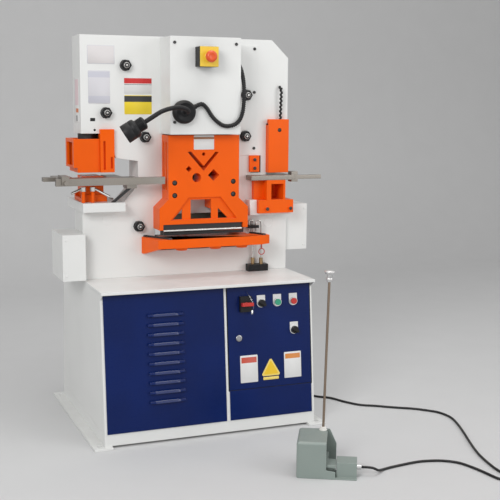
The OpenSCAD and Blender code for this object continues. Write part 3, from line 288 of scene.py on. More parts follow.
# %% Group: grain and drift
def build_grain():
    """Fine noise for a surface's texture, stretched along one axis, and slow noise for its drift in tone."""
    inputs = {"Fine Scale": 900.0, "Stretch X": 1.0, "Stretch Y": 1.0, "Stretch Z": 1.0, "Drift Scale": 6.0}
    tree, given, out = new_group("grain_and_drift", inputs, ("Grain", "Drift"))
    place = add_node(tree, "ShaderNodeTexCoord").outputs["Object"]
    stretch = add_node(tree, "ShaderNodeCombineXYZ")
    for axis in "XYZ":
        tree.links.new(given.outputs["Stretch " + axis], stretch.inputs[axis])
    scaled = add_node(tree, "ShaderNodeVectorMath", operation="MULTIPLY")
    tree.links.new(place, scaled.inputs[0])
    tree.links.new(stretch.outputs[0], scaled.inputs[1])
    fine = add_node(tree, "ShaderNodeTexNoise", detail=2.0)
    tree.links.new(scaled.outputs[0], fine.inputs["Vector"])
    tree.links.new(given.outputs["Fine Scale"], fine.inputs["Scale"])
    slow = add_node(tree, "ShaderNodeTexNoise", detail=3.0)
    tree.links.new(place, slow.inputs["Vector"])
    tree.links.new(given.outputs["Drift Scale"], slow.inputs["Scale"])
    tree.links.new(fine.outputs["Fac"], out.inputs["Grain"])
    tree.links.new(slow.outputs["Fac"], out.inputs["Drift"])
    return tree


# %% Group: edge wear
TURN_SEEN, TURN_WORN = 0.02, 0.2
PATCH_START, PATCH_FULL = 0.45, 0.62


def build_wear():
    """Worn edges: where a rounded normal leaves the true one, broken up by noise."""
    tree, given, out = new_group("edge_wear", {"Reach": 0.002, "Amount": 0.5, "Break Up": 90.0}, ("Mask",))
    rounded = add_node(tree, "ShaderNodeBevel", samples=4)
    tree.links.new(given.outputs["Reach"], rounded.inputs["Radius"])
    true = add_node(tree, "ShaderNodeNewGeometry").outputs["Normal"]
    alike = add_node(tree, "ShaderNodeVectorMath", operation="DOT_PRODUCT")
    tree.links.new(rounded.outputs[0], alike.inputs[0])
    tree.links.new(true, alike.inputs[1])
    turned_by = mix_numbers(tree, "SUBTRACT", 1.0, alike.outputs["Value"])
    edge = ramp(tree, turned_by, TURN_SEEN, TURN_WORN)
    broken = add_node(tree, "ShaderNodeTexNoise", detail=4.0)
    tree.links.new(add_node(tree, "ShaderNodeTexCoord").outputs["Object"], broken.inputs["Vector"])
    tree.links.new(given.outputs["Break Up"], broken.inputs["Scale"])
    patches = ramp(tree, broken.outputs["Fac"], PATCH_START, PATCH_FULL)
    worn = mix_numbers(tree, "MULTIPLY", edge, patches)
    tree.links.new(mix_numbers(tree, "MULTIPLY", worn, given.outputs["Amount"]), out.inputs["Mask"])
    return tree


# %% Group: settled dust
def build_dust():
    """Dust: thickest on faces that look up, patchy, and scaled by its amount."""
    tree, given, out = new_group("settled_dust", {"Amount": 0.2, "Patch Scale": 14.0}, ("Mask",))
    split = add_node(tree, "ShaderNodeSeparateXYZ")
    tree.links.new(add_node(tree, "ShaderNodeNewGeometry").outputs["Normal"], split.inputs[0])
    up = ramp(tree, split.outputs["Z"], 0.3, 1.0)
    patch = add_node(tree, "ShaderNodeTexNoise", detail=5.0)
    tree.links.new(add_node(tree, "ShaderNodeTexCoord").outputs["Object"], patch.inputs["Vector"])
    tree.links.new(given.outputs["Patch Scale"], patch.inputs["Scale"])
    settled = mix_numbers(tree, "MULTIPLY", up, ramp(tree, patch.outputs["Fac"], 0.35, 0.7))
    tree.links.new(mix_numbers(tree, "MULTIPLY", settled, given.outputs["Amount"]), out.inputs["Mask"])
    return tree


GROUPS = {"grain": build_grain(), "wear": build_wear(), "dust": build_dust()}
print("node groups", sorted(GROUPS))

# %% [markdown]
# One recipe serves every opaque finish. A base colour drifts a little in tone, an under colour shows where
# edges are worn, and dust lies on top. Grain moves the roughness and lifts a small bump: on sprayed enamel it
# is the faint orange peel of the coat, on ground steel it is stretched into fine lines along the grinding.

# %% The finish recipe
DUST_COLOUR = (0.42, 0.39, 0.34, 1.0)


def place_group(tree, name, **values):
    """Places one of the shared groups, with its inputs set by name."""
    made = add_node(tree, "ShaderNodeGroup")
    made.node_tree = GROUPS[name]
    for key, value in values.items():
        made.inputs[key.replace("_", " ").title()].default_value = value
    return made


def mix_colours(tree, share, first, second):
    """A colour mix by a share, where each colour is four numbers or another node's socket."""
    made = add_node(tree, "ShaderNodeMix", data_type="RGBA")
    tree.links.new(share, made.inputs["Factor"])
    for name, colour in (("A", first), ("B", second)):
        socket = [s for s in made.inputs if s.name == name and s.type == "RGBA"][0]
        if isinstance(colour, (tuple, list)):
            socket.default_value = colour
        else:
            tree.links.new(colour, socket)
    return [s for s in made.outputs if s.type == "RGBA"][0]


def shade(colour, share):
    """The colour made darker or lighter by a share, as four numbers."""
    return tuple(min(c * share, 1.0) for c in colour[:3]) + (1.0,)


def finish(name, colour, rough, metallic=0.0, under=None, wear=0.4, reach=0.0015, dust=0.12, drift=0.06,
           fine=900.0, stretch=(1.0, 1.0, 1.0), bump=0.00004, spread=0.06, coat=0.0, sheen=0.5):
    """A finished surface: drifting colour, worn edges, dust, grain in roughness and bump."""
    made = bpy.data.materials.new(name)
    made.use_nodes = True
    tree = made.node_tree
    shader = tree.nodes["Principled BSDF"]
    grain = place_group(tree, "grain", fine_scale=fine, stretch_x=stretch[0], stretch_y=stretch[1],
                        stretch_z=stretch[2])
    drifting = mix_colours(tree, ramp(tree, grain.outputs["Drift"], NOISE_LOW, NOISE_HIGH),
                           shade(colour, 1 - drift), shade(colour, 1 + drift))
    worn = place_group(tree, "wear", reach=reach, amount=wear)
    edged = mix_colours(tree, worn.outputs["Mask"], drifting, under or shade(colour, 0.5))
    dusty = place_group(tree, "dust", amount=dust)
    topped = mix_colours(tree, dusty.outputs["Mask"], edged, DUST_COLOUR)
    tree.links.new(topped, shader.inputs["Base Color"])
    gloss = ramp(tree, grain.outputs["Grain"], NOISE_LOW, NOISE_HIGH, rough - spread, rough + spread)
    tree.links.new(gloss, shader.inputs["Roughness"])
    lifted = add_node(tree, "ShaderNodeBump", distance=bump, strength=1.0)
    tree.links.new(grain.outputs["Grain"], lifted.inputs["Height"])
    tree.links.new(lifted.outputs["Normal"], shader.inputs["Normal"])
    shader.inputs["Metallic"].default_value = metallic
    shader.inputs["Coat Weight"].default_value = coat
    shader.inputs["Specular IOR Level"].default_value = sheen
    return made


# %% The finishes
PRIMER = (0.30, 0.28, 0.26, 1.0)
BARE_STEEL = (0.50, 0.49, 0.47, 1.0)
WORN_NAVY = (0.03, 0.05, 0.2, 1.0)
WORN_ORANGE = (0.34, 0.06, 0.02, 1.0)
WORN_BLACK = (0.04, 0.04, 0.04, 1.0)
GROUND_LINES = (1.0, 14.0, 14.0)
looks = {
    "white_paint": finish("white_enamel", (0.77, 0.775, 0.76), 0.34, under=PRIMER, wear=0.35, drift=0.02),
    "blue_paint": finish("navy_enamel", (0.001, 0.0115, 0.090), 0.30, under=WORN_NAVY, wear=0.5,
                         dust=0.03, drift=0.12, sheen=0.2),
    "grey_steel_paint": finish("grey_enamel", (0.26, 0.27, 0.28), 0.42, under=PRIMER),
    "dark_steel": finish("blackened_steel", (0.045, 0.044, 0.045), 0.42, metallic=0.75, under=BARE_STEEL,
                         wear=0.55, fine=420.0, spread=0.12),
    "bright_steel": finish("ground_steel", (0.58, 0.57, 0.55), 0.27, metallic=1.0, wear=0.2,
                           fine=160.0, stretch=GROUND_LINES, spread=0.1, dust=0.05),
    "gauge_steel": finish("plated_steel", (0.30, 0.275, 0.245), 0.36, metallic=1.0, fine=500.0, spread=0.1),
    "bronze": finish("bearing_bronze", (0.52, 0.33, 0.13), 0.35, metallic=1.0),
    "orange_paint": finish("orange_enamel", (0.88, 0.115, 0.002), 0.34, under=WORN_ORANGE,
                           wear=0.6, drift=0.05, sheen=0.2),
    "enclosure_plastic": finish("plated_panel", (0.44, 0.44, 0.42), 0.4, metallic=0.6),
    "yellow_plastic": finish("yellow_moulding", (0.84, 0.58, 0.045), 0.36, wear=0.1, coat=0.1),
    "red_plastic": finish("red_moulding", (0.50, 0.022, 0.016), 0.32, wear=0.1, coat=0.1),
    "green_plastic": finish("green_moulding", (0.02, 0.30, 0.17), 0.32, wear=0.1, coat=0.2),
    "black_plastic": finish("black_moulding", (0.010, 0.010, 0.011), 0.45, under=WORN_BLACK,
                            wear=0.3, dust=0.15, sheen=0.25),
    "cable_rubber": finish("cable_sheath", (0.009, 0.009, 0.010), 0.48, wear=0.2, dust=0.12, sheen=0.3),
    "pipe_brass": finish("brass_pipe", (0.34, 0.24, 0.13), 0.33, metallic=1.0),
    "label_plastic": finish("label_film", (0.78, 0.77, 0.73), 0.4, wear=0.0, dust=0.0, drift=0.02),
    "hammertone_grey": finish("hammered_grey", (0.262, 0.312, 0.288), 0.36, wear=0.4, bump=0.0003,
                              fine=260.0),
}
for node in frame["record"]["subparts"]:
    shown = nodes[node["node"]]
    shown.data.materials.clear()
    shown.data.materials.append(looks[node["material_slot"]])
for cord in (foot_lead, lamp_lead, jaw_lead):
    cord.data.materials.append(looks["cable_rubber"])
BLACK = looks["black_plastic"]
DARK = looks["dark_steel"]
print("finishes", len(looks))

# %% [markdown]
# No painted or machined edge on a real machine is razor sharp: a small rounding catches a line of light. The
# solids come in as loose triangles, so each gets a short chain of modifiers: weld the corners, join the flat
# triangles into whole faces, round the edges, then shade smooth everywhere but across sharp turns.

# %% Smooth shading that leaves sharp turns sharp
SHARP_TURN = math.radians(50)


def build_smoothing():
    """A modifier tree: every face shades smooth, and edges that turn more than the limit stay sharp."""
    tree = bpy.data.node_groups.new("smooth_shading", "GeometryNodeTree")
    for way in ("INPUT", "OUTPUT"):
        tree.interface.new_socket(name="Geometry", in_out=way, socket_type="NodeSocketGeometry")
    given, out = tree.nodes.new("NodeGroupInput"), tree.nodes.new("NodeGroupOutput")
    rounded = add_node(tree, "GeometryNodeSetShadeSmooth", domain="FACE")
    kept = add_node(tree, "GeometryNodeSetShadeSmooth", domain="EDGE")
    kept.inputs["Shade Smooth"].default_value = False
    turn = tree.nodes.new("GeometryNodeInputMeshEdgeAngle")
    steep = add_node(tree, "FunctionNodeCompare", data_type="FLOAT", operation="GREATER_THAN")
    steep.inputs["B"].default_value = SHARP_TURN
    tree.links.new(turn.outputs[0], steep.inputs["A"])
    tree.links.new(steep.outputs[0], kept.inputs["Selection"])
    tree.links.new(given.outputs[0], rounded.inputs["Geometry"])
    tree.links.new(rounded.outputs[0], kept.inputs["Geometry"])
    tree.links.new(kept.outputs[0], out.inputs[0])
    return tree


SMOOTHING = build_smoothing()
print("turns that stay sharp, in degrees, over", round(math.degrees(SHARP_TURN)))

# %% Softened edges
EDGE_ROUND = 0.0012
WELD_REACH = 2e-5
FLAT_TURN = math.radians(0.5)
ROUNDED_TURN = math.radians(30)


def shade_smooth(piece):
    """Adds the shading above as a live modifier."""
    piece.modifiers.new("shading", "NODES").node_group = SMOOTHING


def soften(piece, width=EDGE_ROUND, clamp=False, loose=True):
    """Rounds a piece's edges with live modifiers; loose triangles are welded and joined flat first."""
    if loose:
        piece.modifiers.new("weld", "WELD").merge_threshold = WELD_REACH
        flat = piece.modifiers.new("flat", "DECIMATE")
        flat.decimate_type = "DISSOLVE"
        flat.angle_limit = FLAT_TURN
    if width:
        rounding = piece.modifiers.new("rounding", "BEVEL")
        rounding.width = width
        rounding.segments = 2
        rounding.limit_method = "ANGLE"
        rounding.angle_limit = ROUNDED_TURN
        rounding.use_clamp_overlap = clamp
    shade_smooth(piece)
    piece.modifiers.new("even_normals", "WEIGHTED_NORMAL").keep_sharp = True


SHARP_NODES = {"frame_spacers", "gib_pads", "upper_blade", "lower_blade", "notch_blade"}
CLAMPED_NODES = {"cylinder_barrel", "selector_mode", "selector_start", "table_stop", "notch_gauge",
                 "door_lock", "red_tag", "notch_table", "notch_die"}
FINE_NODES = {"clamp_lever_left": 0.0006, "clamp_lever_right": 0.0006, "front_panels": 0.0008,
              "switch_handle": 0.0008, "cylinder_covers": 0.0009, "side_boxes": 0.001, "stripper_box": 0.001}
REPLACED = {"gib_screws", "door_fittings", "label_plates", "lamp_base", "lamp_head", "lamp_cord", "jaw_cord",
            "foot_cable", "estop_box", "estop_button", "lube_lines", "pedal", "section_block", "notch_guard",
            "shear_table", "hold_down_bar", "pedal_housing", "punch_table", "cover_screws"}
for name, shown in nodes.items():
    if name not in REPLACED:
        width = 0.0 if name in SHARP_NODES else FINE_NODES.get(name, EDGE_ROUND)
        soften(shown, width, clamp=name in CLAMPED_NODES)
print("softened", len(nodes) - len(REPLACED))

# %% [markdown]
# Some solids carry more than one finish, as a control does with its chrome ring and black body. A node's
# own mesh is never changed, so a clean copy of it becomes a new piece that stands for the node. Its faces
# take a second finish where a test on the place of their middles holds. The shape stays the one that was
# packed.

# %% A clean copy of a node
JOINED_TURN = 0.01


def solid_numbers(count, edges):
    """One number per closed solid: each point takes the lowest number along its edges, until none changes."""
    number = np.arange(count)
    while True:
        low = np.minimum(number[edges[:, 0]], number[edges[:, 1]])
        spread = number.copy()
        np.minimum.at(spread, edges[:, 0], low)
        np.minimum.at(spread, edges[:, 1], low)
        spread = spread[spread]
        if (spread == number).all():
            return number
        number = spread


def clean_copy(node):
    """A node's triangles with corners merged and flat ones joined, as (points, faces, solid numbers)."""
    work = bmesh.new()
    work.from_mesh(nodes[node].data)
    bmesh.ops.remove_doubles(work, verts=work.verts[:], dist=WELD_REACH)
    bmesh.ops.dissolve_limit(work, angle_limit=JOINED_TURN, verts=work.verts[:], edges=work.edges[:])
    mesh = bpy.data.meshes.new("copy")
    work.to_mesh(mesh)
    work.free()
    points = np.empty(len(mesh.vertices) * 3)
    mesh.vertices.foreach_get("co", points)
    ends = np.empty(len(mesh.edges) * 2, int)
    mesh.edges.foreach_get("vertices", ends)
    faces = [tuple(face.vertices) for face in mesh.polygons]
    bpy.data.meshes.remove(mesh)
    return points.reshape(-1, 3), faces, solid_numbers(len(points) // 3, ends.reshape(-1, 2))


# %% Dressing a piece
CLAMP_BELOW = 0.0007


def dress(piece, body, slot_name, *stands_for, look=None):
    """Rides a piece on its body, hides what it stands for, and gives it a finish of its own or else its
    slot's.
    """
    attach(piece, body)
    if stands_for:
        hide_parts(*stands_for)
    if not piece.data.materials:
        piece.data.materials.append(look or looks[slot_name])
    return piece


def repaint(node, body, name, slot_name, width, paints=(), keep=None):
    """A piece that stands for a node: its kept solids, with a second finish on the faces each test picks."""
    points, faces, number = clean_copy(node)
    held = [n for n in np.unique(number) if keep is None or keep(points[number == n])]
    chosen = [face for face in faces if number[face[0]] in held]
    used, places = np.unique(np.concatenate(chosen), return_inverse=True)
    cuts = np.cumsum([len(face) for face in chosen])[:-1]
    piece = add_mesh(name, points[used], np.split(places.ravel(), cuts), smooth=False)
    piece.data.materials.append(looks[slot_name])
    middles = np.array([face.center[:] for face in piece.data.polygons])
    paint = np.zeros(len(middles), int)
    for count, (look, picks) in enumerate(paints, 1):
        piece.data.materials.append(look)
        paint[picks(middles)] = count
    piece.data.polygons.foreach_set("material_index", paint)
    soften(piece, width, clamp=width < CLAMP_BELOW, loose=False)
    print(name, "faces", len(paint), "in a second finish", np.count_nonzero(paint))
    return dress(piece, body, slot_name, node)


# %% Tests that pick faces by their middles
def between(axis, low=-np.inf, high=np.inf):
    """Picks faces between two values along one axis."""
    return lambda middles: (middles[:, axis] > low) & (middles[:, axis] < high)


def in_box(low, high):
    """Picks faces between two corners."""
    return lambda middles: ((middles > low) & (middles < high)).all(axis=1)


def near_axis(places, reach, along=1):
    """Picks faces within a reach of any of some axes, which run along X, Y or Z through the places."""
    across = [axis for axis in range(3) if axis != along]
    centres = np.array(places)[:, across]

    def picks(middles):
        away = middles[:, None, across] - centres
        return np.linalg.norm(away, axis=-1).min(axis=1) < reach
    return picks


# %% [markdown]
# Turned parts, such as nuts' studs, the lamp's shade and a mushroom button, are profiles carried round an
# axis. A profile lists radius and distance along the axis; where the radius is nought the surface closes in
# a point. Most of them face forward, so that direction has a name.

# %% Turned surfaces
FRONT = (0, -1, 0)
MERGE_REACH = 1e-6


def round_about(radius, run, centre, axis, around):
    """Rings of points round an axis at distances along it, with a radius for each ring or each point."""
    along = Vector(axis).normalized()
    side = along.orthogonal().normalized()
    other = along.cross(side)
    angle = np.linspace(0, 2 * math.pi, around, endpoint=False)[:, None]
    ring = np.cos(angle) * np.array(side) + np.sin(angle) * np.array(other)
    points = np.array(centre) + run[:, None, None] * np.array(along) + radius[..., None] * ring
    return points.reshape(-1, 3), grid_faces(len(run), around, close_columns=True)


def turned(profile, centre, axis, around=48):
    """A surface of revolution: a profile of radius and distance, carried round an axis through a centre."""
    radius, run = np.asarray(profile, float).T
    return round_about(radius[:, None], run, centre, axis, around)


def together(name, *surfaces):
    """One piece from several (points, faces) pairs, with poles merged and faces turned outwards."""
    points, faces, start = [], [], 0
    for places, corners in surfaces:
        points.append(np.asarray(places, float).reshape(-1, 3))
        faces += [[c + start for c in face] for face in corners]
        start += len(points[-1])
    piece = add_mesh(name, np.vstack(points), faces)
    work = bmesh.new()
    work.from_mesh(piece.data)
    bmesh.ops.remove_doubles(work, verts=work.verts[:], dist=MERGE_REACH)
    bmesh.ops.recalc_face_normals(work, faces=work.faces[:])
    work.to_mesh(piece.data)
    work.free()
    shade_smooth(piece)
    return piece


# %% [markdown]
# The ram slides between pads that are set from outside by screws: each has a dark threaded end standing
# out of a black chamfered nut, with a small bright steel dome on its tip as a painted highlight. The
# thread is one grid wound round the axis, whose radius falls and rises once a pitch.

# %% Guide nuts and threaded ends
NUT_PLACES = [(-0.228, 1.265), (-0.298, 1.103), (-0.160, 1.019), (-0.185, 0.706), (0.220, 1.167),
              (0.216, 1.020)]
FRAME_FACE = -0.06005
NUT_FRONT = FRAME_FACE - 0.0185
THREAD_RADIUS, THREAD_LENGTH = 0.0102, 0.0078
PITCH, TOOTH, ROWS_PER_PITCH = 0.002, 0.0009, 6
CHAMFER, CHAMFER_SHARE = 0.0016, 0.14
GLINT = [(0, 0), (0.0038, 0), (0.0034, 0.0006), (0, 0.0009)]
GLINT_FRONT = FRAME_FACE - 0.0262
NUTS = between(1, FRAME_FACE - 0.0186, FRAME_FACE + 0.0005)
LEVER_STUDS = in_box((-0.400, -0.098, 0.780), (-0.338, -0.066, 0.862))


def threaded_end(centre, axis, around=32):
    """A threaded round bar: its radius dips by a tooth once a pitch along a helix, and a chamfer ends it."""
    rows = int(THREAD_LENGTH / PITCH * ROWS_PER_PITCH)
    run = np.linspace(0, THREAD_LENGTH, rows)
    turn = np.arange(around) / around
    phase = (run[:, None] / PITCH - turn[None, :]) % 1.0
    depth = TOOTH * np.abs(2 * phase - 1)
    tip = np.clip((THREAD_LENGTH - run) / CHAMFER, 0, 1)[:, None]
    reach = (THREAD_RADIUS - depth) * (1 - CHAMFER_SHARE + CHAMFER_SHARE * tip)
    closed = np.pad(reach, ((1, 1), (0, 0)))
    return round_about(closed, np.pad(run, 1, mode="edge"), centre, axis, around)


repaint("gib_screws", "machine", "guide_screws", "bright_steel", 0.0010,
        [(BLACK, NUTS), (looks["orange_paint"], LEVER_STUDS)])
threads = [threaded_end((x, NUT_FRONT, z), FRONT) for x, z in NUT_PLACES]
dress(together("guide_screw_threads", *threads), "machine", "dark_steel")
# Painted highlight: a small bright steel dome on each thread's tip stands for the glint on it.
ends = [turned(GLINT, (x, GLINT_FRONT, z), FRONT, 20) for x, z in NUT_PLACES]
dress(together("guide_screw_painted_glints", *ends), "machine", "bright_steel")
print("threaded ends", len(threads))

# %% [markdown]
# The work lamp has a round magnetic foot, a ringed flexible neck and a drum-shaped head with a ribbed
# collar. The foot and head are turned profiles; the neck is a tube whose radius rises and falls once a
# ring.

# %% Profiles of the lamp
COLLAR_RIBS = [(r, 0.008 + 0.0011 * k) for k, r in enumerate([0.0232, 0.0232, 0.0214, 0.0214] * 5)]
SHADE = [(0, 0), (0.012, 0), (0.018, 0.0015), (0.0215, 0.005), *COLLAR_RIBS, (0.0235, 0.031),
         (0.030, 0.035), (0.0318, 0.0395), (0.0318, 0.050), (0.0310, 0.051), (0.0310, 0.0525),
         (0.0318, 0.0535), (0.0320, 0.078), (0.0314, 0.080), (0.0296, 0.080), (0.0290, 0.076),
         (0.0272, 0.046), (0.0200, 0.0425), (0, 0.0420)]
BULB = [(0, 0.0421), (0.011, 0.0421), (0.0125, 0.049), (0.0185, 0.056), (0.0222, 0.063), (0.0215, 0.067),
        (0.0175, 0.071), (0.010, 0.0735), (0, 0.0742)]
MAGNET = [(0, 0), (0.0385, 0), (0.040, 0.0015), (0.040, 0.014), (0.0392, 0.0148), (0.0392, 0.0162),
          (0.0400, 0.017), (0.0385, 0.0205), (0.0335, 0.0245), (0.0305, 0.026), (0.0285, 0.0245),
          (0.0165, 0.0238), (0.0145, 0.0262), (0.0110, 0.0278), (0, 0.0282)]
print("shade profile points", len(SHADE))

# %% Lamp
NECK = [(-0.057, -0.200, 1.108), (-0.057, -0.232, 1.110), (-0.072, -0.252, 1.119), (-0.100, -0.262, 1.124),
        (-0.130, -0.264, 1.120), (-0.160, -0.263, 1.110), (-0.190, -0.261, 1.092), (-0.2137, -0.2579, 1.077)]
NECK_RADIUS, NECK_RING, NECK_PITCH = 0.008, 0.0009, 0.0042
LAMP_FOOT = (-0.057, -0.17805, 1.108)
LAMP_MOUTH = Vector((-0.2805, -0.245, 1.034))
LAMP_AIM = Vector((-0.83, 0.16, -0.535)).normalized()
LAMP_LENGTH = 0.080
LEAD_LEAVES = math.radians(65)
LEAD_HEIGHT = 0.013
RELIEF_LENGTH, RELIEF_WIDE, RELIEF_NARROW = 0.0461, 0.0105, 0.0082
GROOVE, GROOVES = 0.0011, 6


def ringed_neck():
    """A tube along the neck, with its radius raised in a rounded ring once a pitch."""
    route, length = smooth_route(NECK, NECK_PITCH / 6)
    run = np.linspace(0, length, len(route))
    ring = NECK_RING * np.abs(np.sin(math.pi * run / NECK_PITCH))
    return tube("lamp_neck", route, (NECK_RADIUS - NECK_RING + ring)[:, None], 20)


def strain_relief(centre, axis):
    """A sleeve that narrows towards its end, with grooves cut round it at even steps."""
    run = np.linspace(0, RELIEF_LENGTH, GROOVES * 4 + 1)
    reach = RELIEF_WIDE + (RELIEF_NARROW - RELIEF_WIDE) * run / RELIEF_LENGTH
    reach[2::4] -= GROOVE
    return turned([(0, 0), *zip(reach, run), (0, RELIEF_LENGTH)], centre, axis, 24)


lamp_back = LAMP_MOUTH - LAMP_LENGTH * LAMP_AIM
dress(together("lamp_shade", turned(SHADE, lamp_back, LAMP_AIM)), "machine", "black_plastic", "lamp_head")
dress(together("lamp_bulb", turned(BULB, lamp_back, LAMP_AIM)), "machine", "label_plastic")
lead_way = Vector((math.sin(LEAD_LEAVES), 0, math.cos(LEAD_LEAVES)))
lead_exit = Vector(LAMP_FOOT) + LEAD_HEIGHT * Vector(FRONT)
foot_parts = [turned(MAGNET, LAMP_FOOT, FRONT, 64), strain_relief(lead_exit, lead_way)]
dress(together("lamp_magnet_foot", *foot_parts), "machine", "black_plastic", "lamp_base")
dress(ringed_neck(), "machine", "black_plastic", "lamp_base")
print("lamp head", [round(v, 3) for v in lamp_back])

# %% [markdown]
# The emergency stop is a mushroom button in a yellow box on a black base. The mushroom is turned, with a
# soft rim and a dished crown; the box keeps its solid's shape with well rounded edges.

# %% Emergency stop
STOP_PLACE = (0.020, -0.23805, 1.294)
STOP_BASE = between(1, -0.2062)
MUSHROOM = [(0, -0.020), (0.010, -0.020), (0.010, -0.0005), (0.0140, 0), (0.0180, 0.0022), (0.0196, 0.0060),
            (0.0200, 0.0100), (0.0195, 0.0140), (0.0180, 0.0172), (0.0155, 0.0193), (0.0125, 0.0206),
            (0.0105, 0.0212), (0.0095, 0.0206), (0.0055, 0.0198), (0, 0.0195)]
STOP_ORANGE = finish("stop_mushroom", (0.72, 0.085, 0.012), 0.32, wear=0.1, coat=0.1)
mushroom = together("stop_mushroom", turned(MUSHROOM, STOP_PLACE, FRONT, 64))
dress(mushroom, "estop_button", "red_plastic", "estop_button", look=STOP_ORANGE)
repaint("estop_box", "machine", "stop_box", "yellow_plastic", 0.0022, [(BLACK, STOP_BASE)])

# %% [markdown]
# The sloping front carries the controls. Its frame is a plane tipped back from its foot, so places on it
# are given as across, outward and up the slope, as they would be measured on the sheet. The rings round the
# controls are chrome, the bodies behind the door black, and the legend plates pale.

# %% The sloping front's frame
SLOPE_FOOT = np.array([0.0, -0.335, 0.046])
SLOPE_LENGTH = 0.471154
SLOPE_TILT = math.radians(5.48069)
SLOPE_TURN = np.array([[1, 0, 0], [0, math.cos(SLOPE_TILT), math.sin(SLOPE_TILT)],
                       [0, -math.sin(SLOPE_TILT), math.cos(SLOPE_TILT)]])
PANEL = 0.003


def on_slope(points):
    """Turns (across, outward as -Y, up the slope) into the machine's frame."""
    return np.asarray(points, float) @ SLOPE_TURN.T + SLOPE_FOOT


def from_slope(points):
    """The other way: where a point lies in the frame of the sloping front."""
    return (np.asarray(points, float) - SLOPE_FOOT) @ SLOPE_TURN


print("top of the slope", on_slope([[0, 0, SLOPE_LENGTH]]).round(3).tolist()[0])

# %% Controls
CHROME = finish("chrome_ring", (0.62, 0.62, 0.62), 0.14, metallic=1.0, wear=0.0, dust=0.03, spread=0.03)
LEGEND = finish("legend_plate", (0.70, 0.70, 0.69), 0.35, metallic=0.1, wear=0.1, dust=0.05, spread=0.04)
UPPER_ROW, LOWER_ROW = 0.405154, 0.303154
CONTROL_PLACES = [(0.187, 0, UPPER_ROW), (0.248, 0, UPPER_ROW), (0.309, 0, UPPER_ROW), (0.310, 0, LOWER_ROW)]
RING_REACH, RING_BACK = 0.0145, -PANEL - 0.0011
LEGENDS = in_box((0.165, -PANEL - 0.00115, -np.inf), (np.inf, -PANEL + 0.0002, np.inf))
SIGNS_TOP = 0.30


def control_rings(middles):
    """Picks faces round the controls that stand in front of the legend plates, measured on the slope."""
    flat = from_slope(middles)
    return near_axis(CONTROL_PLACES, RING_REACH)(flat) & (flat[:, 1] < RING_BACK)


repaint("door_fittings", "door", "door_controls", "black_plastic", 0.0005,
        [(LEGEND, lambda middles: LEGENDS(from_slope(middles))), (CHROME, control_rings)],
        keep=lambda points: points[:, 2].min() > SIGNS_TOP)

# %% [markdown]
# The makers' stickers are left out of the part. Where they were, plain films stay, each with fields of
# colour and no words or signs. One recipe draws the fields: a mask is 1 inside a box in the piece's own
# coordinates, and each field's colour is mixed over the one before.

# %% Film with fields of colour
FILM_ROUGH, FILM_SPREAD = 0.38, 0.05


def box_mask(tree, place, low, high):
    """A mask that is 1 where the coordinates lie between two corners; None leaves one coordinate free."""
    mask = 1.0
    split = add_node(tree, "ShaderNodeSeparateXYZ")
    tree.links.new(place, split.inputs[0])
    for axis, least, most in zip("XYZ", low, high):
        if least is None:
            continue
        above = mix_numbers(tree, "GREATER_THAN", split.outputs[axis], least)
        below = mix_numbers(tree, "LESS_THAN", split.outputs[axis], most)
        mask = mix_numbers(tree, "MULTIPLY", mask, mix_numbers(tree, "MULTIPLY", above, below))
    return mask


def film(name, base, fields):
    """A printed film: a base colour with boxes of other colours over it, and a faint grain in its gloss."""
    made = bpy.data.materials.new(name)
    made.use_nodes = True
    tree = made.node_tree
    shader = tree.nodes["Principled BSDF"]
    place = add_node(tree, "ShaderNodeTexCoord").outputs["Object"]
    grain = place_group(tree, "grain", fine_scale=1500.0)
    drift = ramp(tree, grain.outputs["Drift"], NOISE_LOW, NOISE_HIGH)
    colour = mix_colours(tree, drift, shade(base, 0.97), shade(base, 1.02))
    for low, high, tint in fields:
        colour = mix_colours(tree, box_mask(tree, place, low, high), colour, (*tint, 1.0))
    tree.links.new(colour, shader.inputs["Base Color"])
    gloss = ramp(tree, grain.outputs["Grain"], NOISE_LOW, NOISE_HIGH, FILM_ROUGH - FILM_SPREAD,
                 FILM_ROUGH + FILM_SPREAD)
    tree.links.new(gloss, shader.inputs["Roughness"])
    return made


def band(low, high, tint):
    """A field between two heights."""
    return (None, None, low), (None, None, high), tint


# %% Thin plates
RING = 48
PLATE_EDGE = 0.00015
SEAT = 0.0001


def rounded_plate(across, up, corner, back, front):
    """A thin plate with rounded corners, as rings of points at its back, its edge and its front."""
    turn = np.linspace(0, 2 * math.pi, RING, endpoint=False) + math.pi / (2 * RING)
    half = np.array([(across[1] - across[0]) / 2, (up[1] - up[0]) / 2])
    middle = np.array([sum(across) / 2, sum(up) / 2])
    unit = np.stack([np.cos(turn), np.sin(turn)], -1)
    outline = np.sign(unit) * (half - corner) + corner * unit
    soft = min(PLATE_EDGE, abs(front - back) / 3)
    step = math.copysign(soft, front - back)
    rings = []
    for depth, shrink in ((back, 0.0), (front - step, 0.0), (front, soft)):
        flat = middle + outline * (1 - shrink / half)
        rings.append(np.stack([flat[:, 0], np.full(RING, depth), flat[:, 1]], -1))
    return np.vstack(rings), capped_faces(3, RING)


def lay_film(name, body, surface, base, fields, *stands_for):
    """One film as a piece of its own, with its own print."""
    plate = together(name, surface)
    return dress(plate, body, "label_plastic", *stands_for, look=film(name, base, fields))


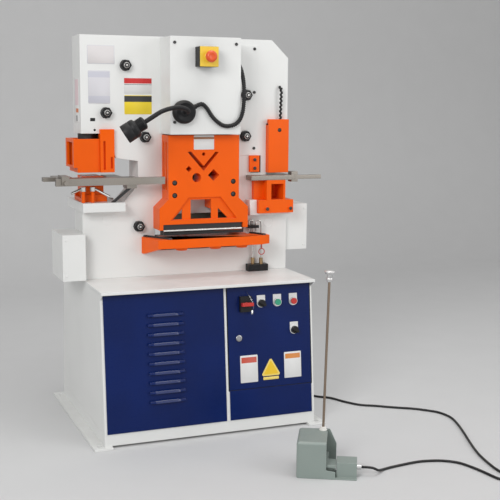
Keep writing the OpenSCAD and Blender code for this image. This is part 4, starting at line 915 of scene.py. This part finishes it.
# %% Plates and films on the frame
WHITE_FILM, SILVER_FILM = (0.72, 0.72, 0.71), (0.62, 0.61, 0.64)
RED_FILM, BLACK_FILM, YELLOW_FILM = (0.55, 0.02, 0.02), (0.02, 0.02, 0.022), (0.82, 0.62, 0.03)
BLOCK_FILM_BACK = -0.13705
SIDE_FACE = -0.385
FILM_CORNER, FRAME_FILM = 0.003, 0.0007
PLATES = [
    ("name_plate", (-0.360, -0.265), (1.268, 1.331), FRAME_FACE, SILVER_FILM,
     [((-0.3575, None, 1.2705), (-0.2675, None, 1.3285), (0.66, 0.63, 0.63))]),
    ("data_plate", (-0.358, -0.282), (1.134, 1.246), FRAME_FACE, SILVER_FILM,
     [band(1.2225, 1.2425, (0.52, 0.52, 0.58)), band(1.1370, 1.1600, (0.55, 0.55, 0.61))]),
    ("notice_film_high", (-0.232, -0.134), (1.168, 1.224), FRAME_FACE, WHITE_FILM,
     [band(1.2035, 1.2215, RED_FILM), band(1.1990, 1.2005, BLACK_FILM)]),
    ("notice_film_low", (-0.232, -0.134), (1.098, 1.163), FRAME_FACE, YELLOW_FILM,
     [band(1.1405, 1.1610, BLACK_FILM)]),
    ("block_film", (-0.005, 0.070), (0.977, 1.027), BLOCK_FILM_BACK, WHITE_FILM,
     [band(1.0135, 1.0205, (0.35, 0.16, 0.07))]),
]
for name, across, up, back, base, fields in PLATES:
    plate = rounded_plate(across, up, FILM_CORNER, back + SEAT, back - FRAME_FILM)
    lay_film(name, "machine", plate, base, fields, "label_plates")
points, faces = rounded_plate((-0.040, 0.032), (1.068, 1.222), FILM_CORNER, SEAT, -FRAME_FILM)
on_side = points[:, [1, 0, 2]] * [1, -1, 1] + [SIDE_FACE, 0, 0]
lay_film("side_film", "machine", (on_side, faces), WHITE_FILM,
         [((None, -0.030, 1.128), (None, 0.022, 1.216), (0.70, 0.55, 0.57)),
          ((None, -0.030, 1.103), (None, 0.010, 1.117), (0.60, 0.20, 0.09)),
          ((None, -0.010, 1.073), (None, 0.004, 1.093), BLACK_FILM)], "label_plates")
print("films on the frame", len(PLATES) + 1)

# %% [markdown]
# The door carries two white films, each with one band of colour, and a yellow plate cut to a triangle, with
# a strip under it. A thin wire with a small tag hangs at the main switch. All are laid out on the sloping
# front.

# %% Films on the door
DOOR_FACE = -PANEL + SEAT
DOOR_FILM, FILM_EDGE = 0.0014, 0.004
DOOR_FILMS = [((0.103, 0.168), (0.1300, 0.2255), (0.1990, 0.2190), (0.50, 0.06, 0.03)),
              ((0.269, 0.334), (0.1330, 0.2250), (0.2015, 0.2190), (0.60, 0.20, 0.02))]


def plate_on_slope(across, up, corner, back, front):
    """A rounded plate laid out on the sloping front."""
    points, faces = rounded_plate(across, up, corner, back, front)
    return on_slope(points), faces


def slope_height(s):
    """Height above the floor of a point on the sloping front, from its distance up the slope."""
    return float(on_slope([[0.0, -PANEL, s]])[0, 2])


for count, (across, up, (low, high), tint) in enumerate(DOOR_FILMS, 1):
    plate = plate_on_slope(across, up, FILM_CORNER, DOOR_FACE, -PANEL - DOOR_FILM)
    least = (across[0] + FILM_EDGE, None, slope_height(low))
    most = (across[1] - FILM_EDGE, None, slope_height(high))
    lay_film(f"door_film_{count}", "door", plate, WHITE_FILM, [(least, most, tint)])
print("films on the door", len(DOOR_FILMS))

# %% Triangle and strip
PALE_YELLOW, PLAIN_YELLOW = (0.86, 0.66, 0.16), (0.85, 0.55, 0.02)
TRIANGLE_CENTRE = (0.2175, 0.1685)
TRIANGLES = [("outer", 0.0315, 0.0060, 0.0010, PALE_YELLOW), ("field", 0.0262, 0.0032, 0.0013, PLAIN_YELLOW)]
CORNER_POINTS = 12


def rounded_triangle(centre, reach, corner, front):
    """A plate in the outline of a triangle with rounded corners, standing on one side."""
    tips = np.repeat(np.radians([90.0, 210.0, 330.0]), CORNER_POINTS)
    turn = tips + np.tile(np.linspace(-math.pi / 3, math.pi / 3, CORNER_POINTS), 3)
    x = centre[0] + (reach * np.cos(tips) + corner * np.cos(turn))
    s = centre[1] + (reach * np.sin(tips) + corner * np.sin(turn))
    rings = [np.stack([x, np.full(len(x), depth), s], -1) for depth in (DOOR_FACE, front)]
    return on_slope(np.vstack(rings)), capped_faces(2, len(x))


for name, reach, corner, depth, tint in TRIANGLES:
    layer = rounded_triangle(TRIANGLE_CENTRE, reach, corner, -PANEL - depth)
    lay_film(f"door_triangle_{name}", "door", layer, tint, [])
strip = plate_on_slope((0.188, 0.247), (0.133, 0.143), 0.002, DOOR_FACE, -PANEL - 0.0010)
lay_film("door_triangle_strip", "door", strip, PALE_YELLOW, [])
print("layers of the triangle", len(TRIANGLES))

# %% Wire and tag at the main switch
WIRE = [(0.132, -0.0075, 0.449), (0.136, -0.0200, 0.436), (0.142, -0.0330, 0.418), (0.146, -0.0360, 0.402),
        (0.1475, -0.0300, 0.392), (0.146, -0.0200, 0.383)]
wire_route, wire_length = smooth_route(on_slope(WIRE), 0.002)
dress(tube("switch_wire", wire_route, 0.0006, 8), "door", "bright_steel", look=CHROME)
tag = plate_on_slope((0.1425, 0.1490), (0.370, 0.384), 0.002, -0.0190, -0.0205)
dress(together("switch_wire_tag", tag), "door", "bright_steel", look=CHROME)
print("switch wire", round(wire_length, 3))

# %% [markdown]
# Socket-head screws hold the covers, the block and the die. Each head is a turned profile, and the rows
# inside its recess swing out to six corners instead of staying round, so one grid gives both the head and
# its key socket.

# %% Socket-head screws
KEY_SHARE, SOFT_SHARE, FLOOR_SHARE = 0.52, 0.12, 0.45
COVER_FACE, FLANGE_FACE, BLOCK_FACE, DIE_FACE = -0.17805, -0.06205, -0.13405, -0.12405
COVER_SCREWS = [(-0.087, COVER_FACE, 1.341), (0.136, COVER_FACE, 1.340), (-0.088, COVER_FACE, 1.073),
                (0.251, FLANGE_FACE, 0.976), (0.251, FLANGE_FACE, 1.1775), (0.251, FLANGE_FACE, 1.332)]
BLOCK_SCREWS = [(-0.075, BLOCK_FACE, 0.862), (-0.075, BLOCK_FACE, 0.818), (0.143, BLOCK_FACE, 0.863),
                (0.143, BLOCK_FACE, 0.818)]
DIE_SCREWS = [(0.282, DIE_FACE, 0.758), (0.374, DIE_FACE, 0.758)]
GUIDE_SCREWS = [(0.250, -0.07605, 0.904), (0.250, -0.07605, 0.935), (0.343, -0.0815, 1.042)]


def socket_screw(centre, axis, radius, height, around=36):
    """A screw head on a plane: a chamfered drum with a six-sided recess, closed below and at its floor."""
    key, soft = radius * KEY_SHARE, radius * SOFT_SHARE
    profile = [(0, 0), (radius, 0), (radius, height - soft), (radius - soft, height), (key, height),
               (key, height * FLOOR_SHARE), (0, height * FLOOR_SHARE)]
    points, faces = turned(profile, (0, 0, 0), (0, 0, 1), around)
    rows = points.reshape(len(profile), around, 3)
    angle = np.arctan2(rows[4, :, 1], rows[4, :, 0])
    corner = 1 / np.cos((angle + math.pi / 6) % (math.pi / 3) - math.pi / 6)
    rows[4:6, :, :2] *= corner[None, :, None]
    turn = Vector((0, 0, 1)).rotation_difference(Vector(axis)).to_matrix()
    return rows.reshape(-1, 3) @ np.array(turn).T + np.array(centre), faces


cover_heads = [socket_screw(place, FRONT, 0.0052, 0.0034) for place in COVER_SCREWS]
dress(together("cover_screw_heads", *cover_heads), "machine", "dark_steel", "cover_screws")
block_heads = [socket_screw(place, FRONT, 0.0074, 0.0015) for place in BLOCK_SCREWS]
die_heads = [socket_screw(place, FRONT, 0.0062, 0.0024) for place in DIE_SCREWS + GUIDE_SCREWS]
dress(together("tool_screw_heads", *block_heads, *die_heads), "machine", "dark_steel")
print("socket-head screws", len(cover_heads + block_heads + die_heads))

# %% Painted shade in recesses, and plug welds
RECESS_SHADE = [(0, 0), (0.0039, 0), (0.0039, 0.0062), (0, 0.0062)]
WELD_RING = [(0.0172, 0), (0.0175, 0.0005), (0.0190, 0.0005), (0.0193, 0)]
WELD_PLACES = [(-0.296, 0.731), (0.314, 0.701)]
# Painted shade: black fillings inside the slot and the hole in the punch head's front, where shade falls.
slot_shade = rounded_plate((-0.3519, -0.3351), (1.0741, 1.0849), 0.0008, -0.0485, -0.0590)
dot_shade = turned(RECESS_SHADE, (-0.337, -0.0525, 1.044), FRONT, 24)
dress(together("painted_recess_shade", slot_shade, dot_shade), "machine", "black_plastic")
welds = [turned(WELD_RING, (x, FRAME_FACE, z), FRONT) for x, z in WELD_PLACES]
dress(together("plug_welds", *welds), "machine", "white_paint")
print("plug welds", len(welds))

# %% [markdown]
# Where one solid carries two finishes, a test on the place of each face says which it takes: the dark screws
# sunk in the orange block, the black strips on the shear table, the bright bar under the guard. Some second
# finishes are painted shade: the dark body round that bar, the dark bore of the hole in the notch guard, the
# black spacer strip beside the gib cover, the dark brace under the punch table and the darkened blades.

# %% Two-finish solids
SHEAR_STRIPS = between(2, 0.6682)
BAR_AXIS, BAR_REACH = [(0, -0.12905, 0.693)], 0.0054
# Painted shade: the bore of the hole round the guard's screw is painted dark steel, for the shade inside it.
GUIDE_HOLE_SHADE = in_box((0.332, -0.0848, 1.031), (0.354, -0.0775, 1.053))
# Painted shade: the strip of spacer that shows beside the gib cover is painted black, for the shade in the
# gap there.
SPACER_GAP_SHADE = in_box((0.2395, -0.0656, 0.880), (0.280, np.inf, 0.960))
LOWER_VALVE = between(2, 0.524, 0.5502)
UPPER_VALVE = in_box((0.2240, -0.0905, 0.6848), (0.2640, np.inf, 0.6952))
PIPES = between(2, 0.5732)
# Painted shade: the brace under the punch table is painted dark steel, for the shade that falls under the
# table.
BRACE_SHADE = in_box((-np.inf, -0.0975, 0.790), (np.inf, -0.0865, 0.845))
repaint("section_block", "machine", "block_and_guard", "orange_paint", 0.0006,
        [(DARK, near_axis(BLOCK_SCREWS, 0.0092))])
repaint("shear_table", "machine", "shear_table_plate", "orange_paint", 0.0014, [(DARK, SHEAR_STRIPS)])
# Painted shade: all of the hold-down bar but its round bright bar is dark steel, for the shade under and
# behind the bar.
repaint("hold_down_bar", "machine", "hold_down_bar_painted_shade", "bright_steel", 0.0008,
        [(DARK, lambda middles: ~near_axis(BAR_AXIS, BAR_REACH, along=0)(middles))])
repaint("notch_guard", "machine", "notch_guard_sheet", "orange_paint", 0.0010,
        [(DARK, GUIDE_HOLE_SHADE), (BLACK, SPACER_GAP_SHADE)])
repaint("lube_lines", "machine", "lube_pipes", "pipe_brass", 0.0005,
        [(looks["bright_steel"], PIPES), (BLACK, LOWER_VALVE), (BLACK, UPPER_VALVE)])
repaint("punch_table", "machine", "punch_table_steel", "gauge_steel", 0.0006, [(DARK, BRACE_SHADE)])
# Painted shade: the blades are bright ground steel, but take this darkened steel, which stands for the shade
# on them.
SHADED_BLADE = finish("blade_steel_painted_shade", (0.20, 0.20, 0.165), 0.5, metallic=0.6, wear=0.3, under=BARE_STEEL, fine=160.0,
               stretch=GROUND_LINES, spread=0.1)
for name in ("upper_blade", "lower_blade"):
    nodes[name].data.materials[0] = SHADED_BLADE

# %% [markdown]
# The foot switch has a cast hood in hammered grey, and a treadle inside it that a long rod with a knob also
# presses by hand. The rod is plain drawn steel that has browned a little, and the knob is satin metal. A
# small white collar closes the hood round the rod.

# %% Treadle and rod
ROD_FOOT = Vector((0.231202, -0.717665, 0.116))
LEAN = math.radians(1.4)
ROD_AXIS = Vector((math.sin(LEAN), 0, math.cos(LEAN)))
ROD_BELOW, ROD_END = -0.0735, 0.4765
ROD_STEEL = finish("browned_rod", (0.26, 0.20, 0.15), 0.36, metallic=0.9, wear=0.3, under=BARE_STEEL,
                   fine=500.0)


def along_rod(low, high, reach):
    """Picks faces near the rod's axis, between two distances from the hood's top along it."""
    def picks(middles):
        away = middles - np.array(ROD_FOOT)
        height = away @ np.array(ROD_AXIS)
        across = np.linalg.norm(away - height[:, None] * np.array(ROD_AXIS), axis=1)
        return (across < reach) & (height > low) & (height < high)
    return picks


repaint("pedal", "pedal", "treadle_and_rod", "hammertone_grey", 0.0009,
        [(ROD_STEEL, along_rod(ROD_BELOW, ROD_END, 0.0065)), (CHROME, along_rod(ROD_END, 0.6, 0.02))])
print("rod foot", [round(v, 3) for v in ROD_FOOT])

# %% Cast hood
HOOD_TURN = math.radians(-28)
HOOD_CORNER = np.array([0.105, -0.791, 0])
HOOD_TOP, HOOD_DEPTH = 0.116, 0.144
GLAND_START = 0.1863
CASTING_RADIUS = 0.009
ON_LINE = 1e-4
CAST_EDGES = [(0, 0, 1, 0), (0, 0, 1, HOOD_DEPTH), (0, 0, 2, HOOD_TOP), (1, 0, 2, HOOD_TOP),
              (1, HOOD_DEPTH, 2, HOOD_TOP)]


def in_hood(points):
    """Places in the hood's own frame, whose origin is its near left corner on the floor."""
    away = points - HOOD_CORNER
    c, s = math.cos(HOOD_TURN), math.sin(HOOD_TURN)
    return np.stack([away[:, 0] * c + away[:, 1] * s, away[:, 1] * c - away[:, 0] * s, away[:, 2]], -1)


def cast_corners(piece, lines, width):
    """Rounds the edges on some lines, each given by two axes and their values, with a wide live bevel."""
    mesh = piece.data
    places = in_hood(np.array([v.co[:] for v in mesh.vertices]))
    ends = np.array([e.vertices[:] for e in mesh.edges])
    weight = np.zeros(len(ends), np.float32)
    for axis, value, other, level in lines:
        on_line = (np.abs(places[:, axis] - value) < ON_LINE) & (np.abs(places[:, other] - level) < ON_LINE)
        weight[on_line[ends].all(axis=1)] = 1.0
    mesh.attributes.new("bevel_weight_edge", "FLOAT", "EDGE").data.foreach_set("value", weight)
    casting = piece.modifiers.new("casting_radius", "BEVEL")
    casting.width = width
    casting.segments = 5
    casting.limit_method = "WEIGHT"
    casting.use_clamp_overlap = False
    piece.modifiers.move(len(piece.modifiers) - 1, 0)
    print(piece.name, "cast edges", int(weight.sum()))


hood = repaint("pedal_housing", "machine", "hood_casting", "hammertone_grey", 0.0012,
               [(CHROME, lambda middles: in_hood(middles)[:, 0] > GLAND_START)])
cast_corners(hood, CAST_EDGES, CASTING_RADIUS)

# %% Knob and collar of the hand rod
KNOB_HEIGHT = 0.511
SATIN = finish("satin_knob", (0.62, 0.61, 0.60), 0.34, metallic=0.6, wear=0.2)
KNOB = [(0, -0.030), (0.0085, -0.030), (0.0100, -0.0285), (0.0100, -0.0225), (0.0088, -0.0210),
        (0.0088, -0.0100), (0.0105, -0.0075), (0.0150, -0.0055), (0.0166, -0.0038), (0.0170, -0.0018),
        (0.0160, 0.0004), (0.0115, 0.0022), (0.0060, 0.0030), (0, 0.0033)]
COLLAR = [(0, 0), (0.0120, 0), (0.0124, 0.0020), (0.0100, 0.0036), (0.0106, 0.0056), (0.0086, 0.0074),
          (0.0090, 0.0094), (0.0060, 0.0112), (0.0042, 0.0116), (0, 0.0116)]
knob_place = ROD_FOOT + KNOB_HEIGHT * ROD_AXIS
knob = together("hand_rod_knob", turned(KNOB, knob_place, ROD_AXIS))
dress(knob, "pedal", "bright_steel", look=SATIN)
collar = together("hand_rod_boot", turned(COLLAR, ROD_FOOT, (0, 0, 1), 32))
dress(collar, "machine", "label_plastic")
print("knob at", [round(v, 3) for v in knob_place])

# %% [markdown]
# The door closes on a black foam seal, which shows as a thin dark line in the gaps round it; that line is
# also painted shade, standing for the shade that falls in those gaps. The lock has a turned metal face with a
# raised rim. The louvres are scoops pressed out of the sheet: each is a quarter-round hood whose depth falls
# away at its two ends.

# %% Seal and lock face
SEAL_SHADE_ACROSS, SEAL_SHADE_UP, SEAL_SHADE_WIDTH = (0.058, 0.377), (0.1035, 0.4665), 0.012
LOCK_PLACE = on_slope([[0.100, -0.0079, 0.288154]])[0]
OUTWARD = SLOPE_TURN @ np.array(FRONT)
LOCK_FACE = [(0, 0), (0.0108, 0), (0.0108, 0.0004), (0.0098, 0.0012), (0.0072, 0.0012), (0.0068, 0.0006),
             (0, 0.0006)]


def frame_strip(across, up, width, back, front):
    """A flat frame: rings of a rounded rectangle, outer and inner, joined into a closed band."""
    inner_across, inner_up = (across[0] + width, across[1] - width), (up[0] + width, up[1] - width)
    outer = rounded_plate(across, up, 0.004, back, front)[0].reshape(3, RING, 3)
    inner = rounded_plate(inner_across, inner_up, 0.003, back, front)[0].reshape(3, RING, 3)
    points = np.stack([outer[0], outer[2], inner[2], inner[0], outer[0]])
    return on_slope(points.reshape(-1, 3)), grid_faces(5, RING, close_columns=True)


LOCK_METAL = finish("lock_metal", (0.34, 0.34, 0.35), 0.3, metallic=1.0, wear=0.2)
# Partly painted shade: the black seal strip stands where the gaps round the door would be in shade.
seal_and_gap_shade = together("door_seal_and_gap_shade", frame_strip(SEAL_SHADE_ACROSS, SEAL_SHADE_UP, SEAL_SHADE_WIDTH, 0.0004, -0.0002))
dress(seal_and_gap_shade, "machine", "cable_rubber")
lock_ring = together("lock_ring", turned(LOCK_FACE, LOCK_PLACE, OUTWARD, 40))
dress(lock_ring, "door_lock", "bright_steel", look=LOCK_METAL)
print("lock at", LOCK_PLACE.round(3).tolist())

# %% Louvres
LOUVRES, LOUVRE_PITCH = 10, 0.0326
LOUVRE_LEFT, LOUVRE_WIDTH, LOUVRE_DEPTH = -0.227, 0.128, 0.0122
LOUVRE_SHEET, LEAST_DEPTH, SUNK = 0.0014, 0.0002, 0.0008
FIRST_LOUVRE = (SLOPE_LENGTH - LOUVRE_PITCH * (LOUVRES - 1)) / 2 + 0.003
# Painted highlight: the louvres take a lighter copy of the navy paint, glossier too, so they read as lit
# against the panel.
NAVY_LIT_COPY = finish("navy_lit_copy", (0.003, 0.015, 0.100), 0.22, wear=0.2, dust=0.0, sheen=0.6)


def louvre(foot, across=25, around=9):
    """A pressed hood: a quarter round from the sheet to its open lip, curving in at both ends."""
    u = np.linspace(-1, 1, across)
    swell = (1 - np.abs(u) ** 5) ** 0.5
    turn = np.linspace(0, math.pi / 2, around)
    x = LOUVRE_LEFT + (u + 1) / 2 * LOUVRE_WIDTH
    rows = []
    for inset in (0.0, LOUVRE_SHEET):
        d = np.maximum(LOUVRE_DEPTH * swell - inset, LEAST_DEPTH)
        y = -PANEL + SUNK - d[:, None] * np.sin(turn)[None, :]
        s = foot + d[:, None] * np.cos(turn)[None, :]
        rows.append(np.stack([np.broadcast_to(x[:, None], y.shape), y, s], -1))
    shell = np.concatenate([rows[0], rows[1][:, ::-1]], axis=1)
    return on_slope(shell.reshape(-1, 3)), grid_faces(across, 2 * around, close_columns=True)


hoods = [louvre(FIRST_LOUVRE + k * LOUVRE_PITCH) for k in range(LOUVRES)]
dress(together("louvre_hoods", *hoods), "machine", "blue_paint", look=NAVY_LIT_COPY)
print("louvres", LOUVRES)

# %% [markdown]
# The machine stands on a plain pale floor that curves up into a backdrop, under soft light: one broad lamp in
# front to the left, a weaker one to the right, and one above. The world shows white to the camera and in
# reflections, and lights the object at less than half that strength.

# %% Floor and backdrop
def sweep_floor(width, front, back, radius, height):
    """A floor that turns up into a wall along a quarter circle: flat, round, then upright."""
    turn = np.linspace(0, math.pi / 2, 24)
    line_y = np.concatenate([[front], back - radius + radius * np.sin(turn), [back]])
    line_z = np.concatenate([[0.0], radius - radius * np.cos(turn), [height]])
    across = np.linspace(-width / 2, width / 2, 2)
    points = np.stack([np.broadcast_to(across[None, :], (len(line_y), 2)),
                       np.repeat(line_y[:, None], 2, 1), np.repeat(line_z[:, None], 2, 1)], -1)
    return add_mesh("studio_floor", points, grid_faces(len(line_y), 2))


floor = sweep_floor(width=16.0, front=-6.0, back=4.0, radius=1.5, height=6.0)
floor.data.materials.append(finish("studio_floor", (0.64, 0.64, 0.64), 0.8, wear=0.0, dust=0.0, drift=0.01))
print("floor faces", len(floor.data.polygons))

# %% Lamps and world
LAMPS = [("lamp_front_left", (-3.2, -3.6, 2.9), (0.0, -0.2, 0.7), 1.8, 105.0),
         ("lamp_front_right", (2.6, -3.2, 2.0), (0.0, -0.2, 0.6), 2.2, 38.0),
         ("lamp_above", (0.3, -0.6, 3.8), (0.0, 0.0, 0.8), 2.4, 40.0)]
WORLD_LIGHT, WORLD_SEEN = 0.42, 1.0


def soft_lamp(name, place, target, size, power):
    """A square area lamp at a place, facing a target."""
    lamp = bpy.data.objects.new(name, bpy.data.lights.new(name, "AREA"))
    lamp.data.shape = "SQUARE"
    lamp.data.size = size
    lamp.data.energy = power
    facing = (Vector(target) - Vector(place)).to_track_quat("-Z", "Y").to_matrix().to_4x4()
    lamp.matrix_world = Matrix.Translation(Vector(place)) @ facing
    scene.collection.objects.link(lamp)


for settings in LAMPS:
    soft_lamp(*settings)
world = bpy.data.worlds.new("studio_world")
scene.world = world
world.use_nodes = True
sky = world.node_tree
backdrop = sky.nodes["Background"]
backdrop.inputs["Color"].default_value = (1.0, 1.0, 1.0, 1.0)
path = sky.nodes.new("ShaderNodeLightPath")
seen = mix_numbers(sky, "MAXIMUM", path.outputs["Is Camera Ray"], path.outputs["Is Glossy Ray"])
seen = mix_numbers(sky, "MAXIMUM", seen, path.outputs["Is Transmission Ray"])
sky.links.new(ramp(sky, seen, 0.0, 1.0, WORLD_LIGHT, WORLD_SEEN), backdrop.inputs["Strength"])
scene.view_settings.view_transform = "Standard"
print("lamps", len(LAMPS))
